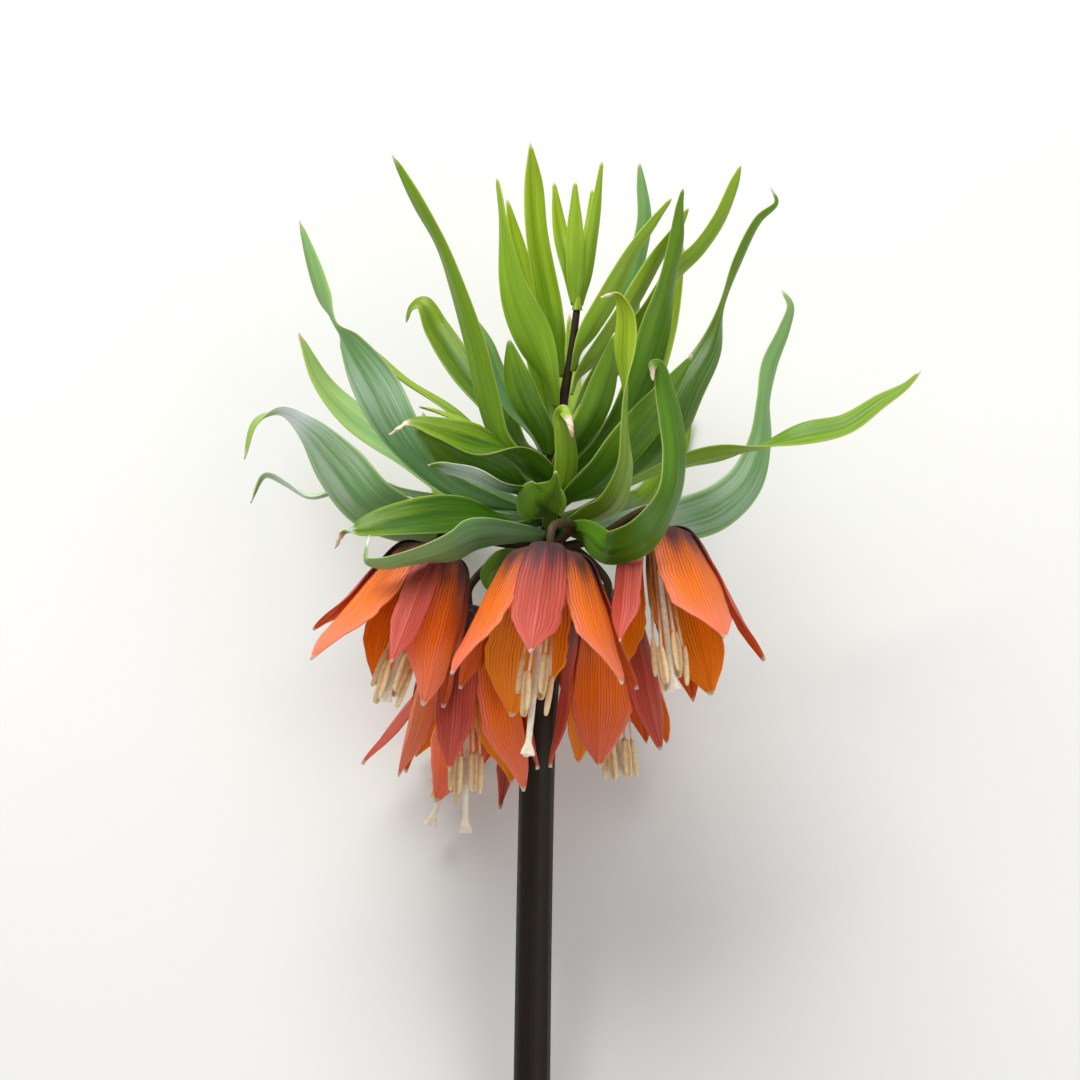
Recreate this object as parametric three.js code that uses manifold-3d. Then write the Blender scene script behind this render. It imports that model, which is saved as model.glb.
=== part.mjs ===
// A cut crown imperial fritillary (Fritillaria imperialis) lying on its back on a flat surface.
//
// The plant is shaped upright first: x to the right, y away from the side that shows best,
// z up, origin at the umbel where the flower stalks leave the stem.  It is then laid down so
// that the cut end of the stem, the rear bells and the rear leaves meet the surface z = 0.
// All sizes are in millimetres.

import * as THREE from "three";
import { mergeVertices } from "three/addons/utils/BufferGeometryUtils.js";
import Module from "manifold-3d";

const wasm = await Module();
wasm.setup();

// ---------------------------------------------------------------- driving sizes
const STEM_BELOW_UMBEL = 225; // cut length of the thick stem
const STEM_RADIUS = 6.2;
// The thick stem's radius at shares of its length, from the cut end up.
const SCAPE_RADII = [[0, STEM_RADIUS], [0.8, 5.8], [0.93, 5.2], [0.97, 4.1], [1, 3.8]];
const STALK_RADII = [1.6, 1.3]; // at the umbel and at the bell
const LIE_ANGLE = 16; // degrees between the stem and the surface
const SURFACE_BEHIND_STEM_END = 5.9; // from the stem's centre line, at the cut

const LEAF_THICKNESS = 0.7;
const LEAF_BASE_WIDTH = 4;
const LEAF_BASE_GAP = 0.4; // between a leaf's foot and the stem
const LEAF_LEAST_WIDTH = 0.8;
const LEAF_TROUGH = 0.16; // rise of the edges over the midrib, as a share of the half width
const LEAF_ROWS_PER_STATION = 1.5;

const TEPAL_THICKNESS = 0.65;
const TEPAL_ROWS = 5;
const OUTER_TEPAL_LIFT = 1.3; // how far the outer three stand off the inner three

// Depths under the bell's joint, from and to: the end of the stalk and the discs that join
// the outer tepals, the inner tepals and the stamens.  They leave a hair's breadth between.
const STALK_END = [-8, -2.1];
const OUTER_DISC = [-1.7, -0.7];
const INNER_DISC = [0.1, 1];
const STAMEN_DISC = [1.4, 2.8];
const TEPAL_DISC_RADIUS = 5.2;
const STAMEN_DISC_RADIUS = 2.5;

const OVARY_RADII = [[0, 1.7], [0.5, 2.1], [1, 0.95]];
const OVARY_LENGTH = 12.4;
const STYLE_RADIUS = 0.95;
const STIGMA_LENGTH = 5;
const FILAMENT_RADIUS = 0.6;
const ANTHER_LENGTH = 13;

const degrees = THREE.MathUtils.degToRad;
const vector = (x, y, z) => new THREE.Vector3(x, y, z);

// ---------------------------------------------------------------- materials
const finish = (color, roughness) =>
  new THREE.MeshStandardMaterial({ color, roughness, metalness: 0 });

const STEM_SKIN = finish("#3a2a2c", 0.5);
const LEAF_GREEN = finish("#5d8a2f", 0.45);
const LEAF_GLAUCOUS = finish("#7fa184", 0.5);
const LEAF_FRESH = finish("#93b53a", 0.45);
const TEPAL_BRICK = finish("#c2594f", 0.55);
const TEPAL_ORANGE = finish("#ec7a2c", 0.5);
const STAMEN_CREAM = finish("#ddd3a6", 0.6);

// ---------------------------------------------------------------- solids from closed meshes
function solidOf(geometry) {
  const bare = geometry.clone();
  bare.deleteAttribute("normal");
  bare.deleteAttribute("uv");
  const merged = mergeVertices(bare, 1e-4);
  return new wasm.Manifold(
    new wasm.Mesh({
      numProp: 3,
      vertProperties: new Float32Array(merged.attributes.position.array),
      triVerts: new Uint32Array(merged.index.array),
    }),
  );
}

function geometryOf(solid) {
  const mesh = solid.getMesh();
  const geometry = new THREE.BufferGeometry();
  geometry.setAttribute("position", new THREE.BufferAttribute(mesh.vertProperties, 3));
  geometry.setIndex(new THREE.BufferAttribute(mesh.triVerts, 1));
  return geometry;
}

const fuse = (geometries) => geometries.map(solidOf).reduce((whole, piece) => whole.add(piece));

// ---------------------------------------------------------------- basic forms

// A value read from a table of [position, value] rows, straight between the rows.
function readTable(table, position) {
  const after = table.findIndex(([at]) => at >= position);
  if (after <= 0) return table[0][1];
  const [at0, value0] = table[after - 1];
  const [at1, value1] = table[after];
  return THREE.MathUtils.mapLinear(position, at0, at1, value0, value1);
}

// A round rod along a curve whose radius changes on the way.  Both ends are closed.
function taperedRod(curve, radiusAt, sides, steps) {
  const rod = new THREE.CylinderGeometry(1, 1, 1, sides, steps);
  const frames = curve.computeFrenetFrames(steps, false);
  const position = rod.attributes.position;
  for (let i = 0; i < position.count; i += 1) {
    const along = 0.5 - position.getY(i);
    const frame = Math.round(along * steps);
    const radius = radiusAt(along);
    const point = curve
      .getPointAt(along)
      .addScaledVector(frames.normals[frame], position.getX(i) * radius)
      .addScaledVector(frames.binormals[frame], position.getZ(i) * radius);
    position.setXYZ(i, point.x, point.y, point.z);
  }
  return rod;
}

// A thin closed blade on either side of a curved sheet.  surfaceAt(u, v) gives the sheet,
// u from 0 at the foot to 1 at the tip and v from -1 to 1 across.  Both faces are split
// along the same diagonals, so a waved blade keeps its thickness.
function blade(rows, columns, thickness, surfaceAt) {
  const step = 1e-3; // of u and v, for the sheet's slopes
  const upper = [];
  const lower = [];
  for (let row = 0; row <= rows; row += 1) {
    for (let column = 0; column <= columns; column += 1) {
      const u = row / rows;
      const v = (2 * column) / columns - 1;
      const along = surfaceAt(Math.min(u + step, 1), v).sub(surfaceAt(Math.max(u - step, 0), v));
      const across = surfaceAt(u, v + step).sub(surfaceAt(u, v - step));
      const normal = along.cross(across).normalize();
      const middle = surfaceAt(u, v);
      upper.push(middle.clone().addScaledVector(normal, thickness / 2));
      lower.push(middle.clone().addScaledVector(normal, -thickness / 2));
    }
  }
  const width = columns + 1;
  const face = (row, column) => row * width + column;
  const back = upper.length;
  const index = [];
  const quad = (a, b, c, d) => index.push(a, b, c, a, c, d);
  for (let row = 0; row < rows; row += 1) {
    for (let column = 0; column < columns; column += 1) {
      const [a, b] = [face(row, column), face(row + 1, column)];
      const [c, d] = [face(row + 1, column + 1), face(row, column + 1)];
      index.push(a, b, c, a, c, d);
      index.push(back + a, back + c, back + b, back + a, back + d, back + c);
    }
    const [left0, left1] = [face(row, 0), face(row + 1, 0)];
    const [right0, right1] = [face(row, columns), face(row + 1, columns)];
    quad(left0, back + left0, back + left1, left1);
    quad(right0, right1, back + right1, back + right0);
  }
  for (let column = 0; column < columns; column += 1) {
    const [foot0, foot1] = [face(0, column), face(0, column + 1)];
    const [tip0, tip1] = [face(rows, column), face(rows, column + 1)];
    quad(foot0, foot1, back + foot1, back + foot0);
    quad(tip0, back + tip0, back + tip1, tip1);
  }
  const geometry = new THREE.BufferGeometry();
  geometry.setFromPoints([...upper, ...lower]);
  geometry.setIndex(index);
  return geometry;
}

// ---------------------------------------------------------------- laying the plant down
const layDown = new THREE.Matrix4()
  .makeRotationX(degrees(LIE_ANGLE - 90))
  .multiply(
    new THREE.Matrix4().makeTranslation(0, -SURFACE_BEHIND_STEM_END, STEM_BELOW_UMBEL),
  );

const SLAB = 800; // larger than the plant, thick enough to take all that dips under z = 0
const underSurface = solidOf(new THREE.BoxGeometry(SLAB, SLAB, SLAB).translate(0, 0, -SLAB / 2));

// The plant's own parts, laid down, with what the surface presses flat taken off.
function restingSolid(solid) {
  const laid = solidOf(geometryOf(solid).applyMatrix4(layDown));
  return laid.boundingBox().min[2] < 0 ? laid.subtract(underSurface) : laid;
}

function node(name, material, solid) {
  const mesh = new THREE.Mesh(geometryOf(restingSolid(solid)), material);
  mesh.name = name;
  return mesh;
}

// ---------------------------------------------------------------- stem, axis and stalks
const stemLine = new THREE.CatmullRomCurve3([
  vector(-5, 0, -STEM_BELOW_UMBEL),
  vector(-3.6, 0, -120),
  vector(-2, 0, -60),
  vector(1, 0, -18),
  vector(2, 0, 6),
]);

const AXIS_POINTS = [
  [0, 2],
  [26, 2.3],
  [52, 6.7],
  [70, 10],
  [84, 11],
];
const AXIS_RADII = [
  [-8, 5],
  [0, 4.2],
  [10, 3.4],
  [30, 2.2],
  [56, 1.5],
  [84, 1.1],
];
const axisX = (z) => readTable(AXIS_POINTS, z);
const axisRadius = (z) => readTable(AXIS_RADII, z);

function upperAxis() {
  const top = AXIS_POINTS.at(-1)[0] - 6;
  const line = new THREE.CatmullRomCurve3(
    [-4, 12, 26, 40, 52, 62, top].map((z) => vector(axisX(z), 0, z)),
  );
  return taperedRod(line, (along) => axisRadius(-4 + along * (top + 4)), 8, 12);
}

// A flower stalk leaves the umbel, arches over and drops into the top of its bell.
function stalk(bell) {
  const line = new THREE.CatmullRomCurve3([
    vector(2 + bell.joint.x * 0.05, bell.joint.y * 0.05, -1),
    bell.arch,
    ...STALK_END.map((depth) => wallPoint(bell, 0, 0, depth)),
  ]);
  return taperedRod(line, (along) => THREE.MathUtils.lerp(...STALK_RADII, along), 6, 8);
}

function stem(bells) {
  const scape = taperedRod(
    stemLine,
    (along) => readTable(SCAPE_RADII, along),
    12,
    8,
  );
  return fuse([scape, upperAxis(), ...bells.map(stalk)]);
}

// ---------------------------------------------------------------- bells
// Radius and depth of the bell's wall from the stalk (0) to the tepal tips (1), as shares of
// the mouth's radius and the bell's depth, and the tepals' half widths as shares of their widest.
const WALL_RADIUS = [[0, 0.15], [0.2, 0.45], [0.4, 0.64], [0.6, 0.78], [0.8, 0.9], [1, 1]];
const WALL_DEPTH = [[0, 0], [0.2, 0.06], [0.4, 0.31], [0.6, 0.55], [0.8, 0.78], [1, 1]];
const TEPAL_WIDTH = [[0, 0.25], [0.2, 0.68], [0.4, 0.95], [0.6, 0.98], [0.8, 0.68], [1, 0.06]];
const INNER_HALF_WIDTH = 0.52; // of the mouth's radius
const OUTER_HALF_WIDTH = 0.3; // likewise

// Each bell: where its stalk joins it, which way it hangs (lean to the right and towards the
// front, in degrees), the turn of its first outer tepal, its depth, how far the style hangs
// out below and the mouth's radius.  Then its six tepals, starting with that outer one and
// going round to the right: degrees out of its even place, and how far it opens, how far it
// reaches down and how wide it is, as shares of the bell's own.
const BELLS = [
  {
    name: "bell_front",
    joint: vector(1.2, -51, -2.3),
    arch: vector(9, -21, 6),
    lean: [-6, 17],
    turn: -3,
    depth: 45,
    style: 21,
    mouth: 27,
    tepals: [
      [-1, 1.19, 0.96, 1], [2, 1.09, 0.99, 1], [-18, 1.115, 0.91, 0.8],
      [16, 0.97, 1.07, 1], [-3, 0.98, 0.97, 0.95], [-4, 1, 1.02, 0.95],
    ],
  },
  {
    name: "bell_front_left",
    joint: vector(-25, -17, -22),
    arch: vector(-10, -7, -1),
    lean: [-1, 2],
    turn: -8,
    depth: 54,
    style: 18,
    mouth: 22,
    tepals: [
      [-3, 1.02, 0.95, 1], [0, 1.03, 1.07, 1], [-1, 1.03, 0.96, 1],
      [-32, 0.99, 1.055, 1], [0, 1.06, 1, 1], [0, 1, 1, 1],
    ],
  },
  {
    name: "bell_front_right",
    joint: vector(21, -11, -20),
    arch: vector(9, -6, -1),
    lean: [4, 2],
    turn: -77,
    depth: 52,
    style: 4,
    mouth: 21,
    tepals: [
      [0, 1, 1, 1], [-2, 1, 1, 1], [-8, 0.96, 0.93, 1],
      [13, 0.82, 0.9, 1], [-8, 0.99, 0.91, 1], [0, 0.88, 1, 1],
    ],
  },
  {
    name: "bell_left",
    joint: vector(-35, -36, -2),
    arch: vector(-16, -17, 1),
    lean: [-18, 17],
    turn: -4,
    depth: 46,
    style: 6,
    mouth: 24,
    tepals: [
      [2, 1.03, 1.02, 0.7], [-14, 0.695, 1.145, 1], [0, 0.74, 1, 1],
      [17, 0.69, 0.97, 1], [26, 1.12, 0.82, 1], [4, 1.175, 1.105, 1],
    ],
  },
  {
    name: "bell_right",
    joint: vector(35, -35, 4),
    arch: vector(16, -16, 2),
    lean: [6, 19],
    turn: -40,
    depth: 45,
    style: 8,
    mouth: 24,
    tepals: [
      [4, 0.995, 0.94, 0.8], [18, 1.085, 0.99, 1], [13, 1.14, 1.045, 1],
      [10, 1.025, 1.11, 1], [-34, 1.125, 1.115, 1], [-6, 0.62, 1, 1],
    ],
  },
  {
    name: "bell_back_left",
    joint: vector(-11.5, 22, -27),
    arch: vector(-7, 9, -1),
    lean: [-22, -6],
    turn: 40,
    depth: 58,
    style: 17,
    mouth: 21,
    tepals: [
      [10, 1.12, 1, 1], [4, 0.9, 1, 1], [0, 0.96, 1, 1],
      [0, 0.92, 1, 1], [4, 1.31, 1.095, 1], [18, 1.125, 1.075, 1],
    ],
  },
  {
    name: "bell_back_right",
    joint: vector(14, 20, -14),
    arch: vector(6, 9, 0),
    lean: [1, -18],
    turn: 180,
    depth: 46,
    style: 10,
    mouth: 20,
    tepals: [
      [0, 0.96, 1, 1], [0, 0.92, 1, 1], [0, 0.98, 1, 1],
      [0, 0.9, 1, 1], [0, 0.98, 1, 1], [0, 0.92, 1, 1],
    ],
  },
];

// The bell with its axis and the two directions across it: towards the front and to the right.
function hang(bell) {
  const [lean, tip] = bell.lean.map(degrees);
  const axis = vector(Math.sin(lean), -Math.sin(tip), -Math.cos(lean) * Math.cos(tip)).normalize();
  const front = vector(0, -1, 0).projectOnPlane(axis).normalize();
  const right = front.clone().cross(axis);
  return { ...bell, axis, front, right };
}

// A point of the bell's wall: angle round the axis from the front, radius and depth.
function wallPoint(bell, angle, radius, depth) {
  return bell.joint
    .clone()
    .addScaledVector(bell.axis, depth)
    .addScaledVector(bell.front, radius * Math.cos(angle))
    .addScaledVector(bell.right, radius * Math.sin(angle));
}

// One tepal.  It follows the bell's wall, bends round it across its width, and the outer
// three stand off by a lift along the wall's own normal.
function tepal(bell, place) {
  const outer = place % 2 === 0;
  const [shift, opening, reach, breadth] = bell.tepals[place];
  const angle = degrees(bell.turn + 60 * place + shift);
  const halfWidth = (outer ? OUTER_HALF_WIDTH : INNER_HALF_WIDTH) * bell.mouth * breadth;
  const lift = outer ? OUTER_TEPAL_LIFT : 0;
  const wall = (u) =>
    new THREE.Vector2(
      readTable(WALL_RADIUS, u) * bell.mouth * THREE.MathUtils.lerp(1, opening, u),
      readTable(WALL_DEPTH, u) * bell.depth * THREE.MathUtils.lerp(1, reach, u),
    );
  return blade(TEPAL_ROWS, outer ? 2 : 4, TEPAL_THICKNESS, (u, v) => {
    const here = wall(u);
    const slope = wall(Math.min(u + 0.02, 1)).sub(wall(Math.max(u - 0.02, 0))).normalize();
    const radius = here.x + lift * slope.y;
    const depth = here.y - lift * slope.x;
    const bend = radius * 1.05 + 0.4;
    const swing = (v * halfWidth * readTable(TEPAL_WIDTH, u)) / bend;
    const inward = radius - bend * (1 - Math.cos(swing));
    const sideways = bend * Math.sin(swing);
    const turned = Math.atan2(sideways, inward);
    return wallPoint(bell, angle + turned, Math.hypot(sideways, inward), depth);
  });
}

// A straight rod on the bell's axis between two depths.
function axialRod(bell, [from, to], radiusAt, steps) {
  const line = new THREE.LineCurve3(wallPoint(bell, 0, 0, from), wallPoint(bell, 0, 0, to));
  return taperedRod(line, radiusAt, 6, steps);
}

// Three tepals that stand on one small disc.
function tepals(bell, places, discSpan) {
  const disc = axialRod(bell, discSpan, () => TEPAL_DISC_RADIUS, 1);
  return fuse([disc, ...places.map((place) => tepal(bell, place))]);
}

// A filament with its long anther hanging from the end.
function stamen(bell, angle) {
  const length = bell.depth - 8.5 + 3 * Math.sin(3 * angle + bell.turn);
  const line = new THREE.CatmullRomCurve3([
    wallPoint(bell, angle, 1.6, 2),
    wallPoint(bell, angle, 3.4, 2 + length * 0.6),
    wallPoint(bell, angle, 4.6, 2 + length),
  ]);
  const filament = taperedRod(line, () => FILAMENT_RADIUS, 3, 2);
  const anther = new THREE.SphereGeometry(1, 5, 3).scale(1.6, 1.3, ANTHER_LENGTH / 2);
  const hanging = new THREE.Quaternion().setFromUnitVectors(vector(0, 0, 1), bell.axis);
  const middle = wallPoint(bell, angle, 4.8, 2 + length + ANTHER_LENGTH * 0.38);
  anther.applyQuaternion(hanging).translate(middle.x, middle.y, middle.z);
  return [filament, anther];
}

// Ovary, long style and the three-lobed stigma, simplified here to its flared outline.
function pistil(bell) {
  const foot = STAMEN_DISC[0] + 0.2;
  const top = foot + OVARY_LENGTH;
  const tip = bell.depth + bell.style;
  return [
    axialRod(bell, [foot, top], (along) => readTable(OVARY_RADII, along), 2),
    axialRod(bell, [top - 2, tip - STIGMA_LENGTH + 1], () => STYLE_RADIUS, 1),
    axialRod(bell, [tip - STIGMA_LENGTH, tip], (along) => THREE.MathUtils.lerp(1.05, 1.9, along), 1),
  ];
}

function stamens(bell) {
  const round = [30, 90, 150, 210, 270, 330].map((angle) => stamen(bell, degrees(angle)));
  const disc = axialRod(bell, STAMEN_DISC, () => STAMEN_DISC_RADIUS, 1);
  return fuse([disc, ...pistil(bell), ...round.flat()]);
}

// ---------------------------------------------------------------- leaves
// A leaf grows from the axis at a height, on a side (degrees round from the front, to the
// right positive), through stations [x, y, z, width, roll].  With a roll of 0 its upper face
// looks to the front, with 180 its lower face does, and at 90 or 270 it is seen edge-on.
const LEAVES = [
  // the long ones on the left
  { name: "leaf_left_tall", look: LEAF_GLAUCOUS, foot: 11, side: -88, path: [
    [-18, -1, 14, 10, 120], [-32, -3, 20, 13, 130], [-47, -8, 36, 15, 150], [-56, -11, 52, 16, 165],
    [-65, -13, 67, 12, 130], [-69, -13, 73, 8, 95], [-73, -12, 82, 7, 130], [-77, -11, 94, 5, 150],
    [-81, -10, 107, 1, 160]] },
  { name: "leaf_left_arching", look: LEAF_GLAUCOUS, foot: 5, side: -80, path: [
    [-12, -3, 4.5, 9, 120], [-24, -9, 6, 13, 120], [-42, -17, 6, 17, 140], [-57, -23, 13, 20, 152],
    [-67, -25, 25, 19, 152], [-77, -26, 37, 13, 130], [-86, -25, 43, 8, 110], [-94, -24, 40, 4, 60],
    [-98, -23, 28, 1, 40]] },
  { name: "leaf_left_ribbon", look: LEAF_GLAUCOUS, foot: 8, side: -108, path: [
    [-33, 5, 14, 11, 100], [-48, 4, 18, 12, 98], [-57, 3, 21, 12, 95], [-67, 0, 19, 10, 88],
    [-78, -2, 16, 9, 86], [-86, -2, 20, 7, 100], [-93, -2, 23, 4, 110], [-98, -1, 14, 1, 100]] },
  { name: "leaf_left_strip", look: LEAF_FRESH, foot: 15, side: -112, path: [
    [-10, 6, 28, 6, 95], [-22, 8, 37, 8, 78], [-33, 7, 46, 9, 75], [-47, 5, 55, 9, 75],
    [-58, 3, 64, 8, 78], [-66, 1, 71, 2, 80]] },
  { name: "leaf_left_rising", look: LEAF_GREEN, foot: 20, side: -52, path: [
    [-9, -7, 28, 7, 140], [-15, -8, 35, 8, 140], [-19, -9, 48, 9, 150], [-23, -10, 65, 9, 140],
    [-30, -10, 87, 8, 125], [-35, -9, 100, 7, 125], [-42, -8, 113, 6, 130], [-51, -6, 130, 1, 140]] },
  { name: "leaf_left_dark", look: LEAF_GREEN, foot: 14, side: -64, path: [
    [-8, -7, 19, 8, 130], [-15, -11, 24, 11, 150], [-28, -14, 29, 14, 155], [-35, -16, 33, 10, 150],
    [-43, -17, 38, 1, 140]] },
  { name: "leaf_left_curled", look: LEAF_FRESH, foot: 21, side: -88, path: [
    [-8, 0, 28, 6, 100], [-21, -1, 37, 8, 75], [-30, -2, 42, 6, 75], [-38, -3, 45, 4, 80],
    [-42, -3, 46, 1, 110]] },
  { name: "leaf_left_white_edged", look: LEAF_GREEN, foot: 13, side: -38, path: [
    [-6, -11, 17, 7, 120], [-15, -18, 19, 9, 110], [-25, -21, 23, 9, 120], [-33, -23, 25, 6, 130],
    [-38, -24, 26, 1, 130]] },
  { name: "leaf_left_over", look: LEAF_GREEN, foot: 17, side: -26, path: [
    [0, -9, 23, 8, 150], [-8, -14, 30, 10, 120], [-22, -18, 34, 13, 40], [-35, -20, 38, 10, 45],
    [-44, -20, 40, 5, 60], [-51, -19, 36, 1, 80]] },

  // in front
  { name: "leaf_front_left_broad", look: LEAF_GREEN, foot: 7.4, side: -42, path: [
    [-12, -16, 8.2, 8, 72], [-25, -27, 10, 15, 48], [-38, -38, 9, 17, 42], [-50, -43, 7, 14, 45],
    [-59, -45, 5, 9, 60], [-64, -45, 4, 5, 100], [-67, -44, -1, 1, 120]] },
  { name: "leaf_front_left_low", look: LEAF_GLAUCOUS, foot: 2.9, side: -30, path: [
    [-9, -19, 3.5, 8, 150], [-22, -42, 3, 12, 145], [-31, -57, -1, 13, 125], [-41, -62, -4, 12, 118],
    [-51, -63, -6, 8, 115], [-56, -62, -5, 5, 110], [-56, -61, -1, 3, 100], [-55, -60, 3, 1, 90]] },
  { name: "leaf_front_left_hanging", look: LEAF_GREEN, foot: -4.5, side: -26, path: [
    [-2.5, -11, -5, 7, 165], [-8, -17, -6, 9, 160], [-14, -21, -7.5, 12, 160],
    [-17.5, -23.5, -10.5, 8, 170], [-18.5, -24.5, -15, 1, 178]] },
  { name: "leaf_front", look: LEAF_GREEN, foot: 6, side: 3, path: [
    [1.5, -7.5, 7.5, 5, 182], [1.5, -10.5, 10.4, 6, 182], [-0.3, -14, 13, 12.5, 182],
    [-1.2, -17, 14, 17, 180], [1, -20.5, 16.5, 11, 174], [3, -23.5, 20, 4, 165],
    [3.5, -25.5, 24, 1, 165]] },
  { name: "leaf_front_upright", look: LEAF_FRESH, foot: 14.5, side: 12, path: [
    [5, -9, 18, 7, 190], [7, -13, 27, 8, 185], [6, -16, 38, 6, 180], [5, -17, 42, 5, 175],
    [6, -20, 44, 4, 175], [8, -23, 40, 3, 175], [9, -24, 35, 1, 175]] },
  { name: "leaf_front_right_hooked", look: LEAF_FRESH, foot: 6, side: 62, path: [
    [14, -12, 9, 10, 232], [22, -23, 14, 13, 236], [26, -28, 25, 11, 242], [26, -30, 38, 9, 250],
    [26, -30, 48, 8, 268], [26, -30, 63, 9, 320], [26, -30, 75, 6, 330], [23, -31, 81, 3, 300],
    [18, -31, 80, 1, 270]] },
  { name: "leaf_front_right_cupped", look: LEAF_GREEN, foot: 5, side: 35, path: [
    [12.5, -20, 4.4, 8, 195], [21.5, -53, -1, 11, 202], [30.5, -61, 3, 13, 208], [39, -60, 15, 12, 225],
    [41, -55, 29, 10, 222], [40, -52, 39, 9, 215], [38, -50, 49, 7, 205], [36, -50, 57, 4, 200],
    [34, -52, 57, 3, 200], [34, -53, 52, 1, 200]] },

  // the long ones on the right
  { name: "leaf_right_broad", look: LEAF_GREEN, foot: 12.5, side: 54, path: [
    [9, -9, 16, 8, 228], [18, -16, 22, 13, 215], [26, -19, 32, 14, 205], [35, -21, 43, 12, 205],
    [42, -22, 53, 7, 210], [48, -22, 62, 1, 215]] },
  { name: "leaf_right_inner", look: LEAF_GREEN, foot: 20, side: 30, path: [
    [6, -8, 28, 7, 210], [15, -12, 42, 10, 195], [20, -12, 56, 8, 190], [23, -13, 70, 1, 190]] },
  { name: "leaf_right_tall", look: LEAF_GREEN, foot: 14, side: 112, path: [
    [16, 4, 17, 9, 250], [32, 2, 26, 12, 225], [42, -2, 38, 14, 215], [48, -5, 52, 14, 215],
    [55, -5, 65, 11, 225], [59, -5, 80, 7, 255], [64, -4, 94, 6, 235], [71, -3, 108, 4, 230],
    [77, -2, 114, 2, 230], [75, -2, 119, 1, 230]] },
  { name: "leaf_right_upturned", look: LEAF_GLAUCOUS, foot: 3.5, side: 104, path: [
    [16, 5, 5, 10, 250], [32, 5, 6, 15, 215], [45, 3, 8, 16, 205], [57, 1, 12, 16, 200],
    [67, 0, 21, 14, 205], [72, -1, 35, 10, 220], [73, -1, 48, 8, 235], [75, 0, 60, 7, 215],
    [80, 1, 72, 5, 215], [82, 1, 80, 3, 220], [79, 1, 85, 1, 220]] },
  { name: "leaf_right_reaching", look: LEAF_FRESH, foot: 9, side: 92, path: [
    [12, -3, 12, 7, 264], [32, -10, 22, 10, 258], [46, -14, 27, 11, 250], [58, -18, 30, 11, 245],
    [70, -20, 32, 10, 270], [85, -21, 36, 11, 310], [98, -21, 39, 11, 310], [110, -20, 47, 8, 305],
    [118, -19, 52, 4, 300], [123, -18, 57, 1, 300]] },
  { name: "leaf_right_upright", look: LEAF_GREEN, foot: 17, side: 72, path: [
    [11, -5, 25, 8, 240], [22, -5, 36, 10, 215], [32, -3, 55, 11, 205], [37, -2, 72, 11, 205],
    [41, -1, 88, 8, 220], [44, 0, 102, 6, 215], [45, 0, 113, 3, 215], [46, 0, 119, 1, 215]] },
  { name: "leaf_right_far", look: LEAF_FRESH, foot: 42, side: 112, path: [
    [14, 5, 52, 6, 240], [24, 9, 66, 8, 225], [35, 11, 78, 8, 220], [44, 12, 92, 8, 230],
    [52, 12, 100, 6, 215], [59, 12, 110, 6, 220], [64, 12, 122, 4, 220], [66, 12, 128, 1, 220]] },
  { name: "leaf_right_pale", look: LEAF_GLAUCOUS, foot: 28, side: 140, path: [
    [11, 10, 42, 7, 285], [20, 16, 56, 9, 225], [26, 19, 70, 9, 200], [31, 20, 95, 7, 205],
    [34, 20, 110, 6, 215], [33, 20, 122, 4, 210], [32, 20, 130, 1, 210]] },

  // up the thin axis
  { name: "leaf_upper_right_front", look: LEAF_FRESH, foot: 58, side: 60, path: [
    [11, -3, 64, 5, 235], [15, -4, 72, 7, 205], [21, -5, 82, 7.5, 200], [29, -6, 97, 6, 230],
    [36, -6, 107, 4, 220], [42, -6, 115, 1, 220]] },
  { name: "leaf_upper_right", look: LEAF_FRESH, foot: 50, side: 95, path: [
    [11, 0, 56, 5, 250], [18, 1, 65, 7, 215], [28, 3, 80, 7, 215], [38, 5, 97, 6, 225],
    [45, 6, 107, 4, 220], [48, 6, 113, 1, 220]] },
  { name: "leaf_upper_left", look: LEAF_FRESH, foot: 46, side: -60, path: [
    [2, -4, 54, 7, 140], [-3, -6, 67, 12, 170], [-8, -7, 78, 12, 172], [-11, -7, 87, 9, 170],
    [-14, -6, 107, 4, 130], [-15, -5, 115, 3, 130], [-16, -4, 122, 1, 140]] },
  { name: "leaf_upper_left_tall", look: LEAF_FRESH, foot: 56, side: -120, path: [
    [4, 2, 66, 7, 45], [3, 3, 72, 8, 30], [1, 4, 82, 9, 20], [-3, 5, 105, 8, 25],
    [-4, 6, 122, 7, 30], [-5, 6, 135, 1, 40]] },
  { name: "leaf_upper_left_short", look: LEAF_GREEN, foot: 30, side: -45, path: [
    [-1, -6, 38, 8, 160], [-7, -9, 49, 10, 170], [-10, -10, 58, 8, 170], [-12, -10, 68, 1, 165]] },
  { name: "leaf_upper_left_pale", look: LEAF_GLAUCOUS, foot: 28, side: -105, path: [
    [-3, 2, 35, 7, 70], [-10, 4, 45, 9, 50], [-16, 5, 57, 8, 40], [-19, 5, 66, 6, 40],
    [-23, 5, 74, 3, 50], [-27, 5, 80, 1, 60]] },

  // behind
  { name: "leaf_back_left_long", look: LEAF_GLAUCOUS, foot: 10, side: -128, path: [
    [-12, 11, 14, 9, 60], [-30, 24, 19, 12, 40], [-48, 34, 32, 12, 30], [-67, 42, 45, 11, 30],
    [-78, 46, 57, 8, 35], [-86, 48, 74, 1, 40]] },
  { name: "leaf_back_left_drooping", look: LEAF_GREEN, foot: 27, side: -150, path: [
    [-8, 8, 32, 9, 50], [-15, 15, 44, 10, 30], [-28, 24, 60, 11, 25], [-37, 30, 74, 10, 25],
    [-42, 33, 83, 7, 40], [-46, 36, 82, 3, 50], [-48, 38, 77, 1, 50]] },
  { name: "leaf_back_left_low", look: LEAF_GREEN, foot: 8, side: -156, path: [
    [-10, 16, 8, 10, 30], [-20, 36, 10, 14, 20], [-30, 58, 14, 14, 10], [-36, 76.7, 24, 11, 5],
    [-41, 79.6, 36, 6, 5], [-44, 81, 48, 1, 5]] },
  { name: "leaf_back_right_low", look: LEAF_GREEN, foot: 8, side: 154, path: [
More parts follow.
